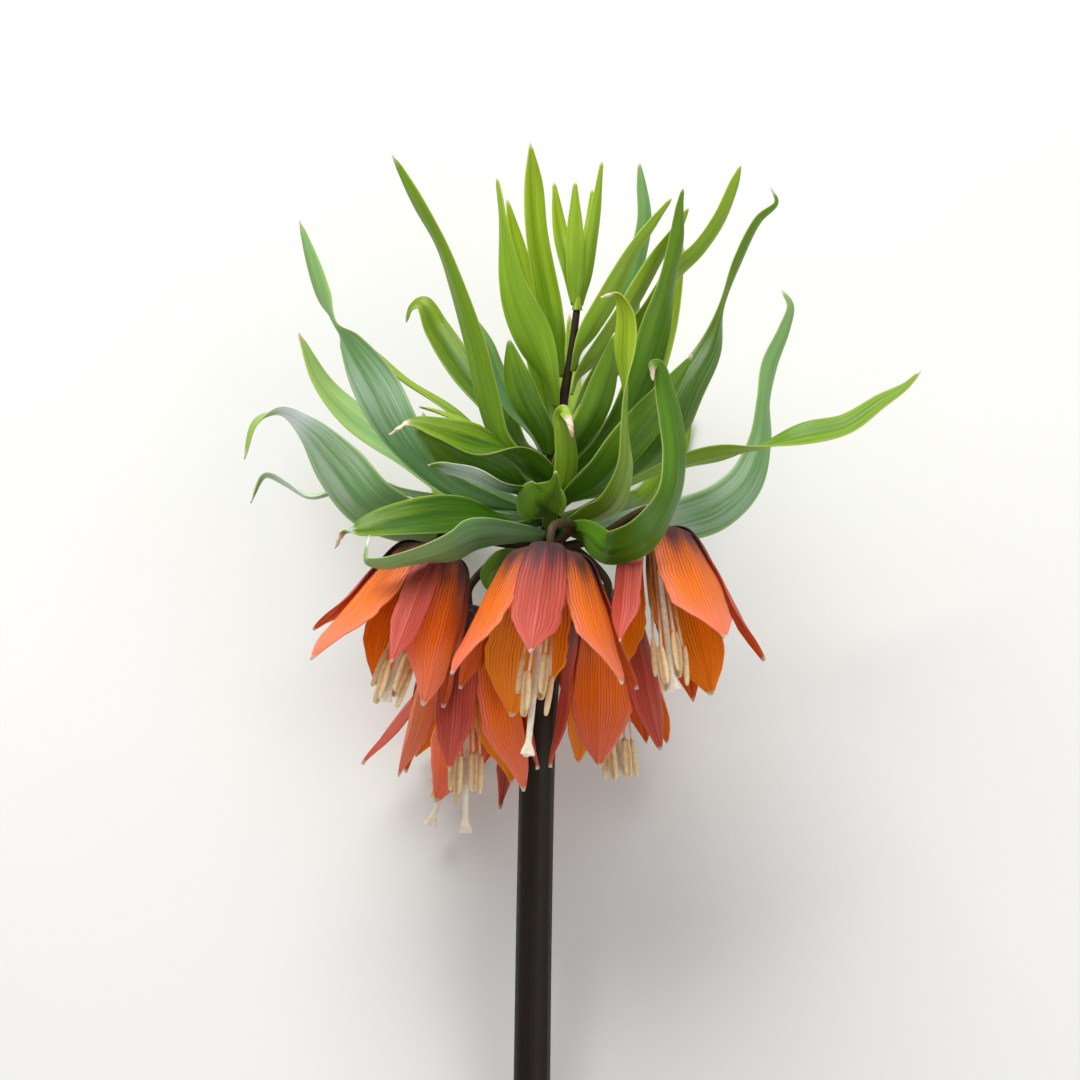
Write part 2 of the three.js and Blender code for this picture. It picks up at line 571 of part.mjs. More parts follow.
    [13, 16, 8, 10, 330], [25, 36, 10, 14, 340], [36, 58, 14, 14, 350], [43, 76.7, 24, 11, 355],
    [49, 79.6, 36, 6, 355], [53, 81, 48, 1, 355]] },
  { name: "leaf_back_middle", look: LEAF_GREEN, foot: 13, side: 180, path: [
    [2, 14, 17, 9, 360], [4, 32, 24, 13, 360], [6, 50, 36, 13, 360], [8, 68, 52, 11, 360],
    [9, 80, 66, 6, 360], [9, 88, 84, 1, 360]] },
  { name: "leaf_back_right_rising", look: LEAF_GREEN, foot: 18, side: 142, path: [
    [9, 9, 25, 8, 315], [22, 22, 36, 11, 330], [34, 32, 54, 11, 335], [42, 38, 74, 8, 335],
    [46, 40, 92, 4, 340], [48, 41, 104, 1, 340]] },
  { name: "leaf_back_upright", look: LEAF_FRESH, foot: 34, side: -165, path: [
    [1, 8, 46, 7, 10], [-2, 14, 64, 9, 10], [-6, 19, 86, 8, 10], [-10, 21, 104, 5, 15],
    [-13, 22, 118, 1, 20]] },
];

// Frame of a leaf: the blade's width direction for a tangent and a roll about it.
function widthDirection(tangent, roll) {
  const away = vector(0, 1, 0);
  const flat = tangent.clone().cross(away).normalize();
  const toFront = tangent.clone().cross(flat);
  return flat.multiplyScalar(Math.cos(roll)).addScaledVector(toFront, Math.sin(roll));
}

function leafBlade(stations) {
  const line = new THREE.CatmullRomCurve3(stations.map(([x, y, z]) => vector(x, y, z)));
  const form = new THREE.CatmullRomCurve3(
    stations.map(([, , , width, roll]) => vector(width, roll, 0)),
    false,
    "catmullrom",
  );
  const rows = Math.round((stations.length - 1) * LEAF_ROWS_PER_STATION);
  return blade(rows, 2, LEAF_THICKNESS, (u, v) => {
    const { x: width, y: roll } = form.getPoint(u);
    const across = widthDirection(line.getTangent(u), degrees(roll));
    const upward = line.getTangent(u).cross(across);
    const half = Math.max(width, LEAF_LEAST_WIDTH) / 2;
    return line
      .getPoint(u)
      .addScaledVector(across, v * half)
      .addScaledVector(upward, LEAF_TROUGH * half * (Math.abs(v) - 0.5));
  });
}

// The foot stands just off the axis, square to the side that the leaf grows on.
function leaf({ foot, side, path }) {
  const out = axisRadius(foot) + LEAF_BASE_GAP + LEAF_THICKNESS / 2;
  const turn = degrees(side);
  const x = axisX(foot) + out * Math.sin(turn);
  const y = -out * Math.cos(turn);
  return leafBlade([[x, y, foot, LEAF_BASE_WIDTH, 180 + side], ...path]);
}

// The youngest leaves stand together on one small bud that caps the axis.
const TUFT_BUD = { from: vector(10.7, 0, 78.3), to: vector(11, 0, 86), radius: 1.8 };
const TUFT = [
  [[10, -0.5, 80, 3, 180], [10, -2, 92, 6, 180], [10, -2, 107, 5, 180], [10, -2, 121, 1, 180]],
  [[11.5, 0, 80, 3, 215], [14, 0, 92, 5, 210], [17, 1, 112, 4, 210], [19, 1, 128, 1, 210]],
  [[10, 0.5, 80, 3, 30], [8, 3, 92, 5, 10], [5, 7, 106, 5, 5], [3, 8, 122, 1, 5]],
  [[11.5, 1, 80, 3, 330], [13, 5, 92, 5, 345], [15, 9, 106, 4, 345], [16, 11, 120, 1, 345]],
];

function leafTuft() {
  const bud = taperedRod(
    new THREE.LineCurve3(TUFT_BUD.from, TUFT_BUD.to),
    (along) => TUFT_BUD.radius * (1 - 0.5 * along),
    6,
    2,
  );
  return fuse([bud, ...TUFT.map(leafBlade)]);
}

// ---------------------------------------------------------------- the plant
const plant = new THREE.Group();
const bells = BELLS.map(hang);

plant.add(node("stem", STEM_SKIN, stem(bells)));
for (const bell of bells) {
  plant.add(node(`${bell.name}_outer_tepals`, TEPAL_BRICK, tepals(bell, [0, 2, 4], OUTER_DISC)));
  plant.add(node(`${bell.name}_inner_tepals`, TEPAL_ORANGE, tepals(bell, [1, 3, 5], INNER_DISC)));
  plant.add(node(`${bell.name}_stamens`, STAMEN_CREAM, stamens(bell)));
}
plant.add(node("leaf_tuft", LEAF_FRESH, leafTuft()));
for (const record of LEAVES) {
  plant.add(node(record.name, record.look, solidOf(leaf(record))));
}

// Origin at the middle of the footprint, on the surface.
const bounds = new THREE.Box3().setFromObject(plant, true);
const middle = bounds.getCenter(new THREE.Vector3());
plant.position.set(-middle.x, -middle.y, -bounds.min.z);
plant.updateMatrixWorld(true);

export default plant;
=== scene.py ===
"""Crown imperial fritillary: the fine form and finish of a cut stem that lies on its back.

The plant is shaped upright first, in millimetres: x to the right, y away from the side that
shows best, z up, origin at the umbel where the flower stalks leave the stem.  Every point is
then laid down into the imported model's own frame, in metres, so each piece stands where its
solid is.
"""

import logging
import math
from dataclasses import dataclass, field
from enum import Enum
from typing import Callable, Sequence

import bpy
import numpy as np
from mathutils import Matrix, Vector


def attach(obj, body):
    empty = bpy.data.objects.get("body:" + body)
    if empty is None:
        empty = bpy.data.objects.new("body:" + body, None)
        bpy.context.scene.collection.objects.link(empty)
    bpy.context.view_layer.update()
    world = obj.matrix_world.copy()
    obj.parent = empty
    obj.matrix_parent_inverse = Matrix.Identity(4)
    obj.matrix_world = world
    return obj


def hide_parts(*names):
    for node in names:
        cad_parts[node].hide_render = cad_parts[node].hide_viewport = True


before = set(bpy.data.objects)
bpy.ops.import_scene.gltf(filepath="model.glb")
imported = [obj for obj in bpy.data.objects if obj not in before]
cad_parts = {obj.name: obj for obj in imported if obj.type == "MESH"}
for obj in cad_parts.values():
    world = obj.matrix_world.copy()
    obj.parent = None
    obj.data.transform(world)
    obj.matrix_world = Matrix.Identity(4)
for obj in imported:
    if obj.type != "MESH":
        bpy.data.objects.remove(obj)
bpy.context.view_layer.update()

log = logging.getLogger("crown_imperial")

# ------------------------------------------------------------------ driving sizes, in mm
MM = 0.001  # metres
STEM_BELOW_UMBEL = 225.0
STEM_RADIUS = 6.2
LIE_ANGLE = 16.0  # degrees between the stem and the surface
SURFACE_BEHIND_STEM_END = 5.9
FOOTPRINT_MIDDLE = (12.431706, 171.465100)  # of the laid plant, before it moves to the origin
PRESSED_LAYER = 0.5  # height over the surface under which soft parts are pressed flat

LEAF_THICKNESS = 0.7
LEAF_MARGIN = 0.35  # thickness at a leaf's edge, as a share
LEAF_BASE_WIDTH = 4.0
LEAF_BASE_GAP = 0.4
LEAF_LEAST_WIDTH = 0.8
LEAF_COLUMNS = 20
LEAF_ROWS_PER_STATION = 10

TEPAL_THICKNESS = 0.65
TEPAL_MARGIN = 0.4  # thickness at a tepal's edge, as a share
TEPAL_ROWS = 36
TEPAL_RIB = 0.1  # height
TEPAL_RIBS = 3.5  # on each side of the middle
TEPAL_WAVE = 0.55  # height at the edges
TEPAL_WAVES = 1.8  # along each edge
TEPAL_FLARE = 1.2  # how far the tip bends outwards

STIGMA_LENGTH = 5.0
STYLE_RADIUS = 0.95
OVARY_RADII = (1.7, 2.1, 0.95)  # top, middle and bottom
ANTHER_LENGTH = 13.0
ANTHER_HALF_WIDTH = 1.6
ANTHER_HALF_DEPTH = 1.3
ANTHER_FURROW = 0.32  # share of the depth that the furrow takes
ANTHER_OUT = 4.8  # from the bell's axis
FILAMENT_TOP = 2.0  # depth in the bell at which the filaments start
FILAMENT_RADIUS = 0.65
FILAMENT_TAPER = 0.25  # how much thinner it is at the anther
FILAMENT_SHORTER = 8.5  # than the bell is deep
FILAMENT_SPREAD = 3.0  # how far a length may be from that
RANDOM_SEED = 7
ZONES = "zones"  # the attribute that tells a finish where it is on a piece

Points = np.ndarray  # rows of x, y, z, or a row of numbers
Surface = Callable[[Points, Points], Points]


# ------------------------------------------------------------------ the plant's own frame
def lay_down(points: Points) -> Points:
    """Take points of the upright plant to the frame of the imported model.

    Args:
        points: Rows of x, y, z in millimetres.

    Returns:
        The rows in metres, laid down with the stem's back on the surface.
    """
    tilt = math.radians(90 - LIE_ANGLE)
    x, y, z = points.T
    away, up = y - SURFACE_BEHIND_STEM_END, z + STEM_BELOW_UMBEL
    along = away * math.cos(tilt) + up * math.sin(tilt)
    height = up * math.cos(tilt) - away * math.sin(tilt)
    return MM * np.column_stack((x - FOOTPRINT_MIDDLE[0], along - FOOTPRINT_MIDDLE[1], height))


def smooth_step(low: float, high: float, values: Points) -> Points:
    """Rise smoothly from 0 at low to 1 at high."""
    share = np.clip((values - low) / (high - low), 0, 1)
    return share * share * (3 - 2 * share)


def bump_at(centre: float, reach: float, values: Points) -> Points:
    """Give 1 at the centre, falling smoothly to nothing beyond the reach."""
    return np.exp(-(((values - centre) / reach) ** 2))


def unit(rows: Points) -> Points:
    """Scale each row to length 1."""
    return rows / np.maximum(np.linalg.norm(rows, axis=-1, keepdims=True), 1e-12)


def rotation_of(degrees: Points) -> tuple[Points, Points]:
    """Give the cosine and the sine of an angle in degrees."""
    turn = np.radians(degrees)
    return np.cos(turn), np.sin(turn)


class LineKind(Enum):
    """How a smooth line spaces its bends."""

    EVEN = "even"
    BY_DISTANCE = "by distance"


@dataclass
class SmoothLine:
    """A smooth line through points; each stretch between two takes an equal share of it.

    Args:
        points: The points that it passes through, of any number of coordinates.
        kind: Whether the bends follow the points' order alone or their distances too.
    """

    points: Sequence[Sequence[float]]
    kind: LineKind = LineKind.BY_DISTANCE
    stretches: Points = field(init=False)

    def __post_init__(self) -> None:
        """Work out the cubic of each stretch."""
        inner = np.asarray(self.points, float)
        first, last = 2 * inner[0] - inner[1], 2 * inner[-1] - inner[-2]
        every = np.vstack((first, inner, last))
        before, start, end, after = every[:-3], every[1:-2], every[2:-1], every[3:]
        if self.kind is LineKind.EVEN:
            leave, arrive = (end - before) / 2, (after - start) / 2
        else:
            gaps = np.linalg.norm(np.diff(every, axis=0), axis=1)[:, None] ** 0.5
            gap0, gap1, gap2 = gaps[:-2], gaps[1:-1], gaps[2:]
            gap1 = np.where(gap1 < 1e-4, 1.0, gap1)
            gap0 = np.where(gap0 < 1e-4, gap1, gap0)
            gap2 = np.where(gap2 < 1e-4, gap1, gap2)
            leave = (start - before) / gap0 - (end - before) / (gap0 + gap1) + (end - start) / gap1
            arrive = (end - start) / gap1 - (after - start) / (gap1 + gap2) + (after - end) / gap2
            leave, arrive = leave * gap1, arrive * gap1
        bend = 3 * (end - start) - 2 * leave - arrive
        twist = 2 * (start - end) + leave + arrive
        self.stretches = np.stack((start, leave, bend, twist), axis=1)

    def at(self, share: Points) -> Points:
        """Give the points at shares of the line, from 0 to 1."""
        count = len(self.stretches)
        place = np.clip(np.asarray(share, float), 0, 1) * count
        index = np.minimum(place.astype(int), count - 1)
        rest = (place - index)[..., None]
        start, leave, bend, twist = np.moveaxis(self.stretches[index], -2, 0)
        return start + rest * (leave + rest * (bend + rest * twist))

    def direction(self, share: Points) -> Points:
        """Give the unit directions of travel at shares of the line."""
        share = np.asarray(share, float)
        step = 1e-4
        return unit(self.at(share + step) - self.at(share - step))

    def by_length(self, share: Points) -> Points:
        """Give the line's own shares for shares of its length."""
        fine = np.linspace(0, 1, 401)
        lengths = np.linalg.norm(np.diff(self.at(fine), axis=0), axis=1)
        travelled = np.concatenate(([0.0], np.cumsum(lengths)))
        return np.interp(np.asarray(share, float) * travelled[-1], travelled, fine)


def read_smooth(values: Sequence[float], share: Points) -> Points:
    """Read evenly spaced values on a smooth line through them."""
    return SmoothLine([[value] for value in values], LineKind.EVEN).at(share)[..., 0]


def read_straight(table: Sequence[tuple[float, float]], place: Points) -> Points:
    """Read a table of (place, value) rows, straight between the rows."""
    return np.interp(place, *zip(*table))


# ------------------------------------------------------------------ mesh tools
def deselect_all() -> None:
    """Leave nothing selected, so that an operator meets only its own piece."""
    if bpy.context.object and bpy.context.object.mode != "OBJECT":
        bpy.ops.object.mode_set(mode="OBJECT")
    bpy.ops.object.select_all(action="DESELECT")


def points_of(piece: bpy.types.Object) -> Points:
    """Read a mesh's points as rows."""
    rows = np.empty(len(piece.data.vertices) * 3)
    piece.data.vertices.foreach_get("co", rows)
    return rows.reshape(-1, 3)


def place_points(piece: bpy.types.Object, rows: Points) -> None:
    """Write a mesh's points, pressed flat where they would go under the surface they lie on.

    The lowest ones keep their order, so that the two faces of a blade never meet.
    """
    settled = rows.copy()
    reach = PRESSED_LAYER * MM
    pressed = reach * np.exp(np.minimum(settled[:, 2] / reach - 1, 0))
    settled[:, 2] = np.where(settled[:, 2] < reach, pressed, settled[:, 2])
    piece.data.vertices.foreach_set("co", settled.ravel())
    piece.data.update()


def set_zones(piece: bpy.types.Object, zones: Points) -> None:
    """Store four shares for each point, which the finish reads as its zones."""
    attributes = piece.data.attributes
    layer = attributes.get(ZONES) or attributes.new(ZONES, "FLOAT_COLOR", "POINT")
    layer.data.foreach_set("color", np.clip(zones, 0, 1).astype(np.float32).ravel())


def zones_of(piece: bpy.types.Object) -> Points:
    """Read the four shares of each point."""
    rows = np.empty(len(piece.data.vertices) * 4, np.float32)
    piece.data.attributes[ZONES].data.foreach_get("color", rows)
    return rows.reshape(-1, 4)


def join(pieces: Sequence[bpy.types.Object], name: str) -> bpy.types.Object:
    """Join pieces into one.

    Args:
        pieces: What is joined, the first of which stays.
        name: The joined piece's name.

    Returns:
        The joined piece.
    """
    deselect_all()
    for piece in pieces:
        piece.select_set(True)
    bpy.context.view_layer.objects.active = pieces[0]
    if len(pieces) > 1:
        bpy.ops.object.join()
    pieces[0].name = name
    pieces[0].data.name = name
    return pieces[0]


# ------------------------------------------------------------------ basic forms
@dataclass
class Blade:
    """A thin closed blade on either side of a curved sheet.

    Args:
        name: The piece's name.
        surface: Gives the sheet's points from shares along (0 foot, 1 tip) and across (-1 to 1).
        zones: Gives the four zone shares of the same places, the first of them left at 0.
        rows: Faces along the blade.
        columns: Faces across it.
        thickness: In millimetres, in the middle.
        margin: Share of the thickness that is left at the edges.
    """

    name: str
    surface: Surface
    zones: Surface
    rows: int
    columns: int
    thickness: float
    margin: float

    def build(self) -> bpy.types.Object:
        """Shape a grid into the sheet and give it its thickness.

        Returns:
            The finished blade, whose first zone is 1 on the face that looks back or inwards.
        """
        deselect_all()
        bpy.ops.mesh.primitive_grid_add(
            x_subdivisions=self.columns, y_subdivisions=self.rows, size=2
        )
        blade = bpy.context.object
        blade.name = self.name
        flat = points_of(blade)
        along, across = (flat[:, 1] + 1) / 2, -flat[:, 0]
        blade.data.vertices.foreach_set("co", lay_down(self.surface(along, across)).ravel())
        set_zones(blade, self.zones(along, across))
        self.thicken(blade, along, across)
        zones = zones_of(blade)
        zones[len(flat):, 0] = 1
        set_zones(blade, zones)
        place_points(blade, points_of(blade))
        bpy.ops.object.shade_smooth()
        return blade

    def thicken(self, blade: bpy.types.Object, along: Points, across: Points) -> None:
        """Give the sheet its thickness, less at the edges and at the tip."""
        group = blade.vertex_groups.new(name="thickness")
        edge = 1 - np.maximum(np.abs(across) ** 6, smooth_step(0.94, 1, along))
        for index, weight in enumerate(edge):
            group.add([index], float(weight), "REPLACE")
        solid = blade.modifiers.new("thickness", "SOLIDIFY")
        solid.thickness = self.thickness * MM
        solid.offset = 0
        solid.vertex_group = group.name
        solid.thickness_vertex_group = self.margin
        bpy.ops.object.modifier_apply(modifier=solid.name)
        blade.vertex_groups.clear()


@dataclass
class Rod:
    """A round rod along a line, closed at both ends.

    Args:
        name: The piece's name.
        line: The rod's middle line, in millimetres.
        radius: Gives the radius from shares of the length and angles round the line.
        sides: Faces round the rod.
        steps: Faces along it.
        zones: Gives the four zone shares from the same shares and angles.
    """

    name: str
    line: SmoothLine
    radius: Callable[[Points, Points], Points]
    sides: int
    steps: int
    zones: Callable[[Points, Points], Points]

    def build(self) -> bpy.types.Object:
        """Cut a cylinder into steps and lead it along the line.

        Returns:
            The finished rod.
        """
        deselect_all()
        bpy.ops.mesh.primitive_cylinder_add(
            vertices=self.sides, radius=1, depth=2, end_fill_type="TRIFAN"
        )
        rod = bpy.context.object
        rod.name = self.name
        self.cut_into_steps(rod)
        flat = points_of(rod)
        share = (flat[:, 2] + 1) / 2
        angle = np.arctan2(flat[:, 1], flat[:, 0])
        place = self.line.by_length(share)
        side, other = self.crosswise(share)
        reach = (self.radius(share, angle) * np.hypot(flat[:, 0], flat[:, 1]))[:, None]
        round_points = self.line.at(place) + reach * (
            side * np.cos(angle)[:, None] + other * np.sin(angle)[:, None]
        )
        set_zones(rod, self.zones(share, angle))
        place_points(rod, lay_down(round_points))
        bpy.ops.object.shade_smooth_by_angle(angle=math.radians(50))
        return rod

    def cut_into_steps(self, rod: bpy.types.Object) -> None:
        """Subdivide the upright edges of the bare cylinder."""
        heights = points_of(rod)[:, 2]
        ends = np.empty(len(rod.data.edges) * 2, int)
        rod.data.edges.foreach_get("vertices", ends)
        upright = np.abs(np.diff(heights[ends.reshape(-1, 2)], axis=1))[:, 0] > 1
        rod.data.polygons.foreach_set("select", np.zeros(len(rod.data.polygons), bool))
        rod.data.vertices.foreach_set("select", np.zeros(len(rod.data.vertices), bool))
        rod.data.edges.foreach_set("select", upright)
        bpy.context.tool_settings.mesh_select_mode = (False, True, False)
        bpy.ops.object.mode_set(mode="EDIT")
        bpy.ops.mesh.subdivide(number_cuts=self.steps - 1)
        bpy.ops.object.mode_set(mode="OBJECT")

    def crosswise(self, share: Points) -> tuple[Points, Points]:
        """Carry two cross directions along the line without twisting them.

        Args:
            share: The shares of the length to give them for, each a whole number of steps.

        Returns:
            The two directions, a row for each share.
        """
        travel = self.line.direction(self.line.by_length(np.linspace(0, 1, self.steps + 1)))
        side = unit(np.cross(travel[0], (0.31, 0.93, 0.2)))
        sides = []
        for way in travel:
            side = unit(side - way * np.dot(side, way))
            sides.append(side)
        index = np.rint(share * self.steps).astype(int)
        chosen = np.array(sides)[index]
        return chosen, np.cross(travel[index], chosen)


def constant_zones(*shares: float) -> Callable[[Points, Points], Points]:
    """Give the same four zone shares everywhere."""
    return lambda share, angle: np.tile(shares, (len(share), 1))


# ------------------------------------------------------------------ colours and nodes
def colour(code: str) -> tuple[float, float, float, float]:
    """Turn an sRGB hex code into linear red, green, blue and alpha."""
    channels = (int(code[i : i + 2], 16) / 255 for i in (1, 3, 5))
    linear = (c / 12.92 if c <= 0.04045 else ((c + 0.055) / 1.055) ** 2.4 for c in channels)
    return (*linear, 1.0)


def add_node(
    tree: bpy.types.NodeTree, kind: str, inputs: dict[str | int, object] | None = None, **settings: object
) -> bpy.types.Node:
    """Add a node with its settings and links.

    Args:
        tree: The material's node tree.
        kind: The node's type name.
        inputs: For each socket's name or number, a socket to link from or a value.
        settings: Properties of the node.

    Returns:
        The new node.
    """
    node = tree.nodes.new(kind)
    for name, value in settings.items():
        setattr(node, name, value)
    for socket, value in (inputs or {}).items():
        if isinstance(value, bpy.types.NodeSocket):
            tree.links.new(value, node.inputs[socket])
        else:
            node.inputs[socket].default_value = value
    return node


class Kind(Enum):
    """The node types of the tables: type name, input sockets in order, output read, settings."""

    NOISE = ("ShaderNodeTexNoise", ("Vector", "Scale", "Detail", "Roughness", "Lacunarity"), 0, {})
    BANDS = (
        "ShaderNodeTexWave", ("Vector", "Scale", "Distortion", "Detail"), 1, {"bands_direction": "X"}
    )
    STRETCH = ("ShaderNodeMapping", ("Vector", "Scale", "Location"), 0, {})
    RANGE = ("ShaderNodeMapRange", (0, 1, 2, 3, 4), 0, {})  # value, from low, high, to low, high
    MIX = ("ShaderNodeMix", (0, 6, 7), 2, {"data_type": "RGBA"})  # share, first, second
    CLAMPED_SUM = ("ShaderNodeMath", (0, 1), 0, {"operation": "ADD", "use_clamp": True})
    DIFFERENCE = ("ShaderNodeMath", (0, 1), 0, {"operation": "SUBTRACT"})
    PRODUCT = ("ShaderNodeMath", (0, 1), 0, {"operation": "MULTIPLY"})
    PRODUCT_PLUS = ("ShaderNodeMath", (0, 1, 2), 0, {"operation": "MULTIPLY_ADD"})
    LARGER = ("ShaderNodeMath", (0, 1), 0, {"operation": "MAXIMUM"})
    SIZE = ("ShaderNodeMath", (0,), 0, {"operation": "ABSOLUTE"})
    BRIGHTENED = ("ShaderNodeVectorMath", (0, "Scale"), 0, {"operation": "SCALE"})
    LENGTH = ("ShaderNodeVectorMath", (0,), "Value", {"operation": "LENGTH"})
    FIRST_PART = ("ShaderNodeSeparateXYZ", (0,), 0, {})
    RELIEF = ("ShaderNodeBump", ("Height", "Strength", "Distance"), 0, {})


Row = tuple[str, Kind, tuple[object, ...]]  # the node's name, its kind, its inputs in order

VEIN_WAVE = math.pi / 10  # a wave texture's scale for one band over a coordinate of 1
VEIN_RELIEF = 0.12 * MM  # deeper than life so that it shows


@dataclass(frozen=True)
class Flesh:
    """What light does at and under the skin of a piece.

    Args:
        ior: Index of refraction of the skin.
        sheen: Strength of its reflections.
        glow: Share of the light that travels inside.
        reach: How far red, green and blue travel, as shares of the depth.
        depth: Depth that the light travels in, in millimetres.
    """

    ior: float
    sheen: float
    glow: float
    reach: tuple[float, float, float]
    depth: float


def tissue(name: str, zones: Sequence[str], rows: Sequence[Row], flesh: Flesh) -> bpy.types.Material:
    """Build a material from its table of nodes.

    Args:
        name: The material's name.
        zones: Names for the piece's zone shares.
        rows: The nodes, each of which may read the zones, "uv", "place" and the rows before it
            by name; a text with a # is a colour.  They end in "skin", "rough" and "relief".
        flesh: What light does in it.

    Returns:
        The material.
    """
    material = bpy.data.materials.new(name)
    material.use_nodes = True
    tree = material.node_tree
    tree.nodes.clear()
    stored = add_node(tree, "ShaderNodeAttribute", attribute_name=ZONES)
    split = add_node(tree, "ShaderNodeSeparateColor", {0: stored.outputs["Color"]})
    sockets = dict(zip(zones, (*split.outputs, stored.outputs["Alpha"])))
    sockets["uv"] = add_node(tree, "ShaderNodeUVMap", uv_map="UVMap").outputs[0]
    sockets["place"] = add_node(tree, "ShaderNodeTexCoord").outputs["Object"]
    for row, kind, values in rows:
        type_name, order, output, settings = kind.value
        inputs = {}
        for socket, value in zip(order, values):
            if isinstance(value, str):
                value = colour(value) if value.startswith("#") else sockets[value]
            inputs[socket] = value
        sockets[row] = add_node(tree, type_name, inputs, **settings).outputs[output]
    shader = add_node(
        tree,
        "ShaderNodeBsdfPrincipled",
        {
            "Base Color": sockets["skin"],
            "Roughness": sockets["rough"],
            "Normal": sockets["relief"],
            "IOR": flesh.ior,
            "Specular IOR Level": flesh.sheen,
            "Subsurface Weight": flesh.glow,
            "Subsurface Radius": flesh.reach,
            "Subsurface Scale": flesh.depth * MM,
        },
    )
    add_node(tree, "ShaderNodeOutputMaterial", {"Surface": shader.outputs[0]})
    return material


@dataclass(frozen=True)
class LeafFinish:
    """Living leaf: a cuticle with a soft sheen over green flesh, with fine parallel veins.

    The eye sees long hair-fine stripes, a paler margin, a waxy coat with painted highlights,
    white where it would catch the light, and a papery dry tip.

    Args:
        name: The material's name.
        deep: Colour near the foot and between the veins.
        fresh: Colour of the young parts, towards tip and margin.
        back: Colour of the lower face.
        edge: Colour of the very margin.
        bloom_and_highlight: Colour of the waxy coat, also used for its painted highlights.
        dry: Colour of the dry tip.
        dry_dark: Colour of its creases.
        veins: Number of veins across the blade.
        creases: Scale of the dry tip's creases, in features to the metre.
        gloss: Roughness of the cuticle.
        haze: How much of the waxy coat lies in streaks over the whole blade.
        flesh: What light does in it.
    """

    name: str
    deep: str
    fresh: str
    back: str
    edge: str = "#c3cb74"
    bloom_and_highlight: str = "#dfe9e6"
    dry: str = "#ecd9c4"
    dry_dark: str = "#b98668"
    veins: float = 21
    creases: float = 90.0
    gloss: float = 0.42
    haze: float = 0.0
    flesh: Flesh = Flesh(ior=1.43, sheen=0.35, glow=0.2, reach=(0.8, 1.0, 0.1), depth=1.2)

    def material(self) -> bpy.types.Material:
        """Build the leaf's material."""
        rows = (
            # uneven streaks along the blade, from half its width down to a vein's
            ("drawn out", Kind.STRETCH, ("uv", (5.0, 1.1, 1.0))),
            ("streaks", Kind.NOISE, ("drawn out", 1.0, 4.0, 0.7, 2.6)),
            # the brightness of veins and streaks together, about 1 on average
            ("veins", Kind.BANDS, ("uv", VEIN_WAVE * self.veins, 1.4, 2.0)),
            ("fine", Kind.RANGE, ("veins", 0.0, 1.0, 0.9, 1.06)),
            ("broad", Kind.RANGE, ("streaks", 0.25, 0.75, 0.84, 1.16)),
            ("stripes", Kind.PRODUCT, ("fine", "broad")),
            # the green of either face
            ("drift", Kind.RANGE, ("streaks", 0.3, 0.7, -0.34, 0.34)),
            ("freshness", Kind.CLAMPED_SUM, ("fresh", "drift")),
            ("green", Kind.MIX, ("freshness", self.deep, self.fresh)),
            ("backing", Kind.RANGE, ("back", 0.0, 1.0, 0.0, 0.6)),
            ("turned", Kind.MIX, ("backing", "green", self.back)),
            ("veined", Kind.BRIGHTENED, ("turned", "stripes")),
            # the line along both margins
            ("across", Kind.FIRST_PART, ("uv",)),
            ("offset", Kind.DIFFERENCE, ("across", 0.5)),
            ("spread", Kind.SIZE, ("offset",)),
            ("edge line", Kind.RANGE, ("spread", 0.465, 0.5, 0.0, 0.4)),
            ("edged", Kind.MIX, ("edge line", "veined", self.edge)),
            # the waxy coat and its painted highlights, broken up by the streaks
            ("wax share", Kind.RANGE, ("wax_and_highlight", 0.0, 1.0, self.haze - 0.35, 1.0)),
            ("patchy", Kind.RANGE, ("streaks", 0.3, 0.7, -0.35, 0.35)),
            ("bloom_and_highlight", Kind.CLAMPED_SUM, ("wax share", "patchy")),
            ("bloomed", Kind.MIX, ("bloom_and_highlight", "edged", self.bloom_and_highlight)),
            # the dry tip
            ("cloudy", Kind.NOISE, ("place", self.creases, 3.0)),
            ("crease", Kind.RANGE, ("cloudy", 0.28, 0.5)),
            ("withered", Kind.MIX, ("crease", self.dry_dark, self.dry)),
            ("skin", Kind.MIX, ("dry", "bloomed", "withered")),
            ("rough", Kind.RANGE, ("dry", 0.0, 1.0, self.gloss, 0.8)),
            ("relief", Kind.RELIEF, ("stripes", 0.3, VEIN_RELIEF)),
        )
        return tissue(self.name, ("back", "dry", "fresh", "wax_and_highlight"), rows, self.flesh)


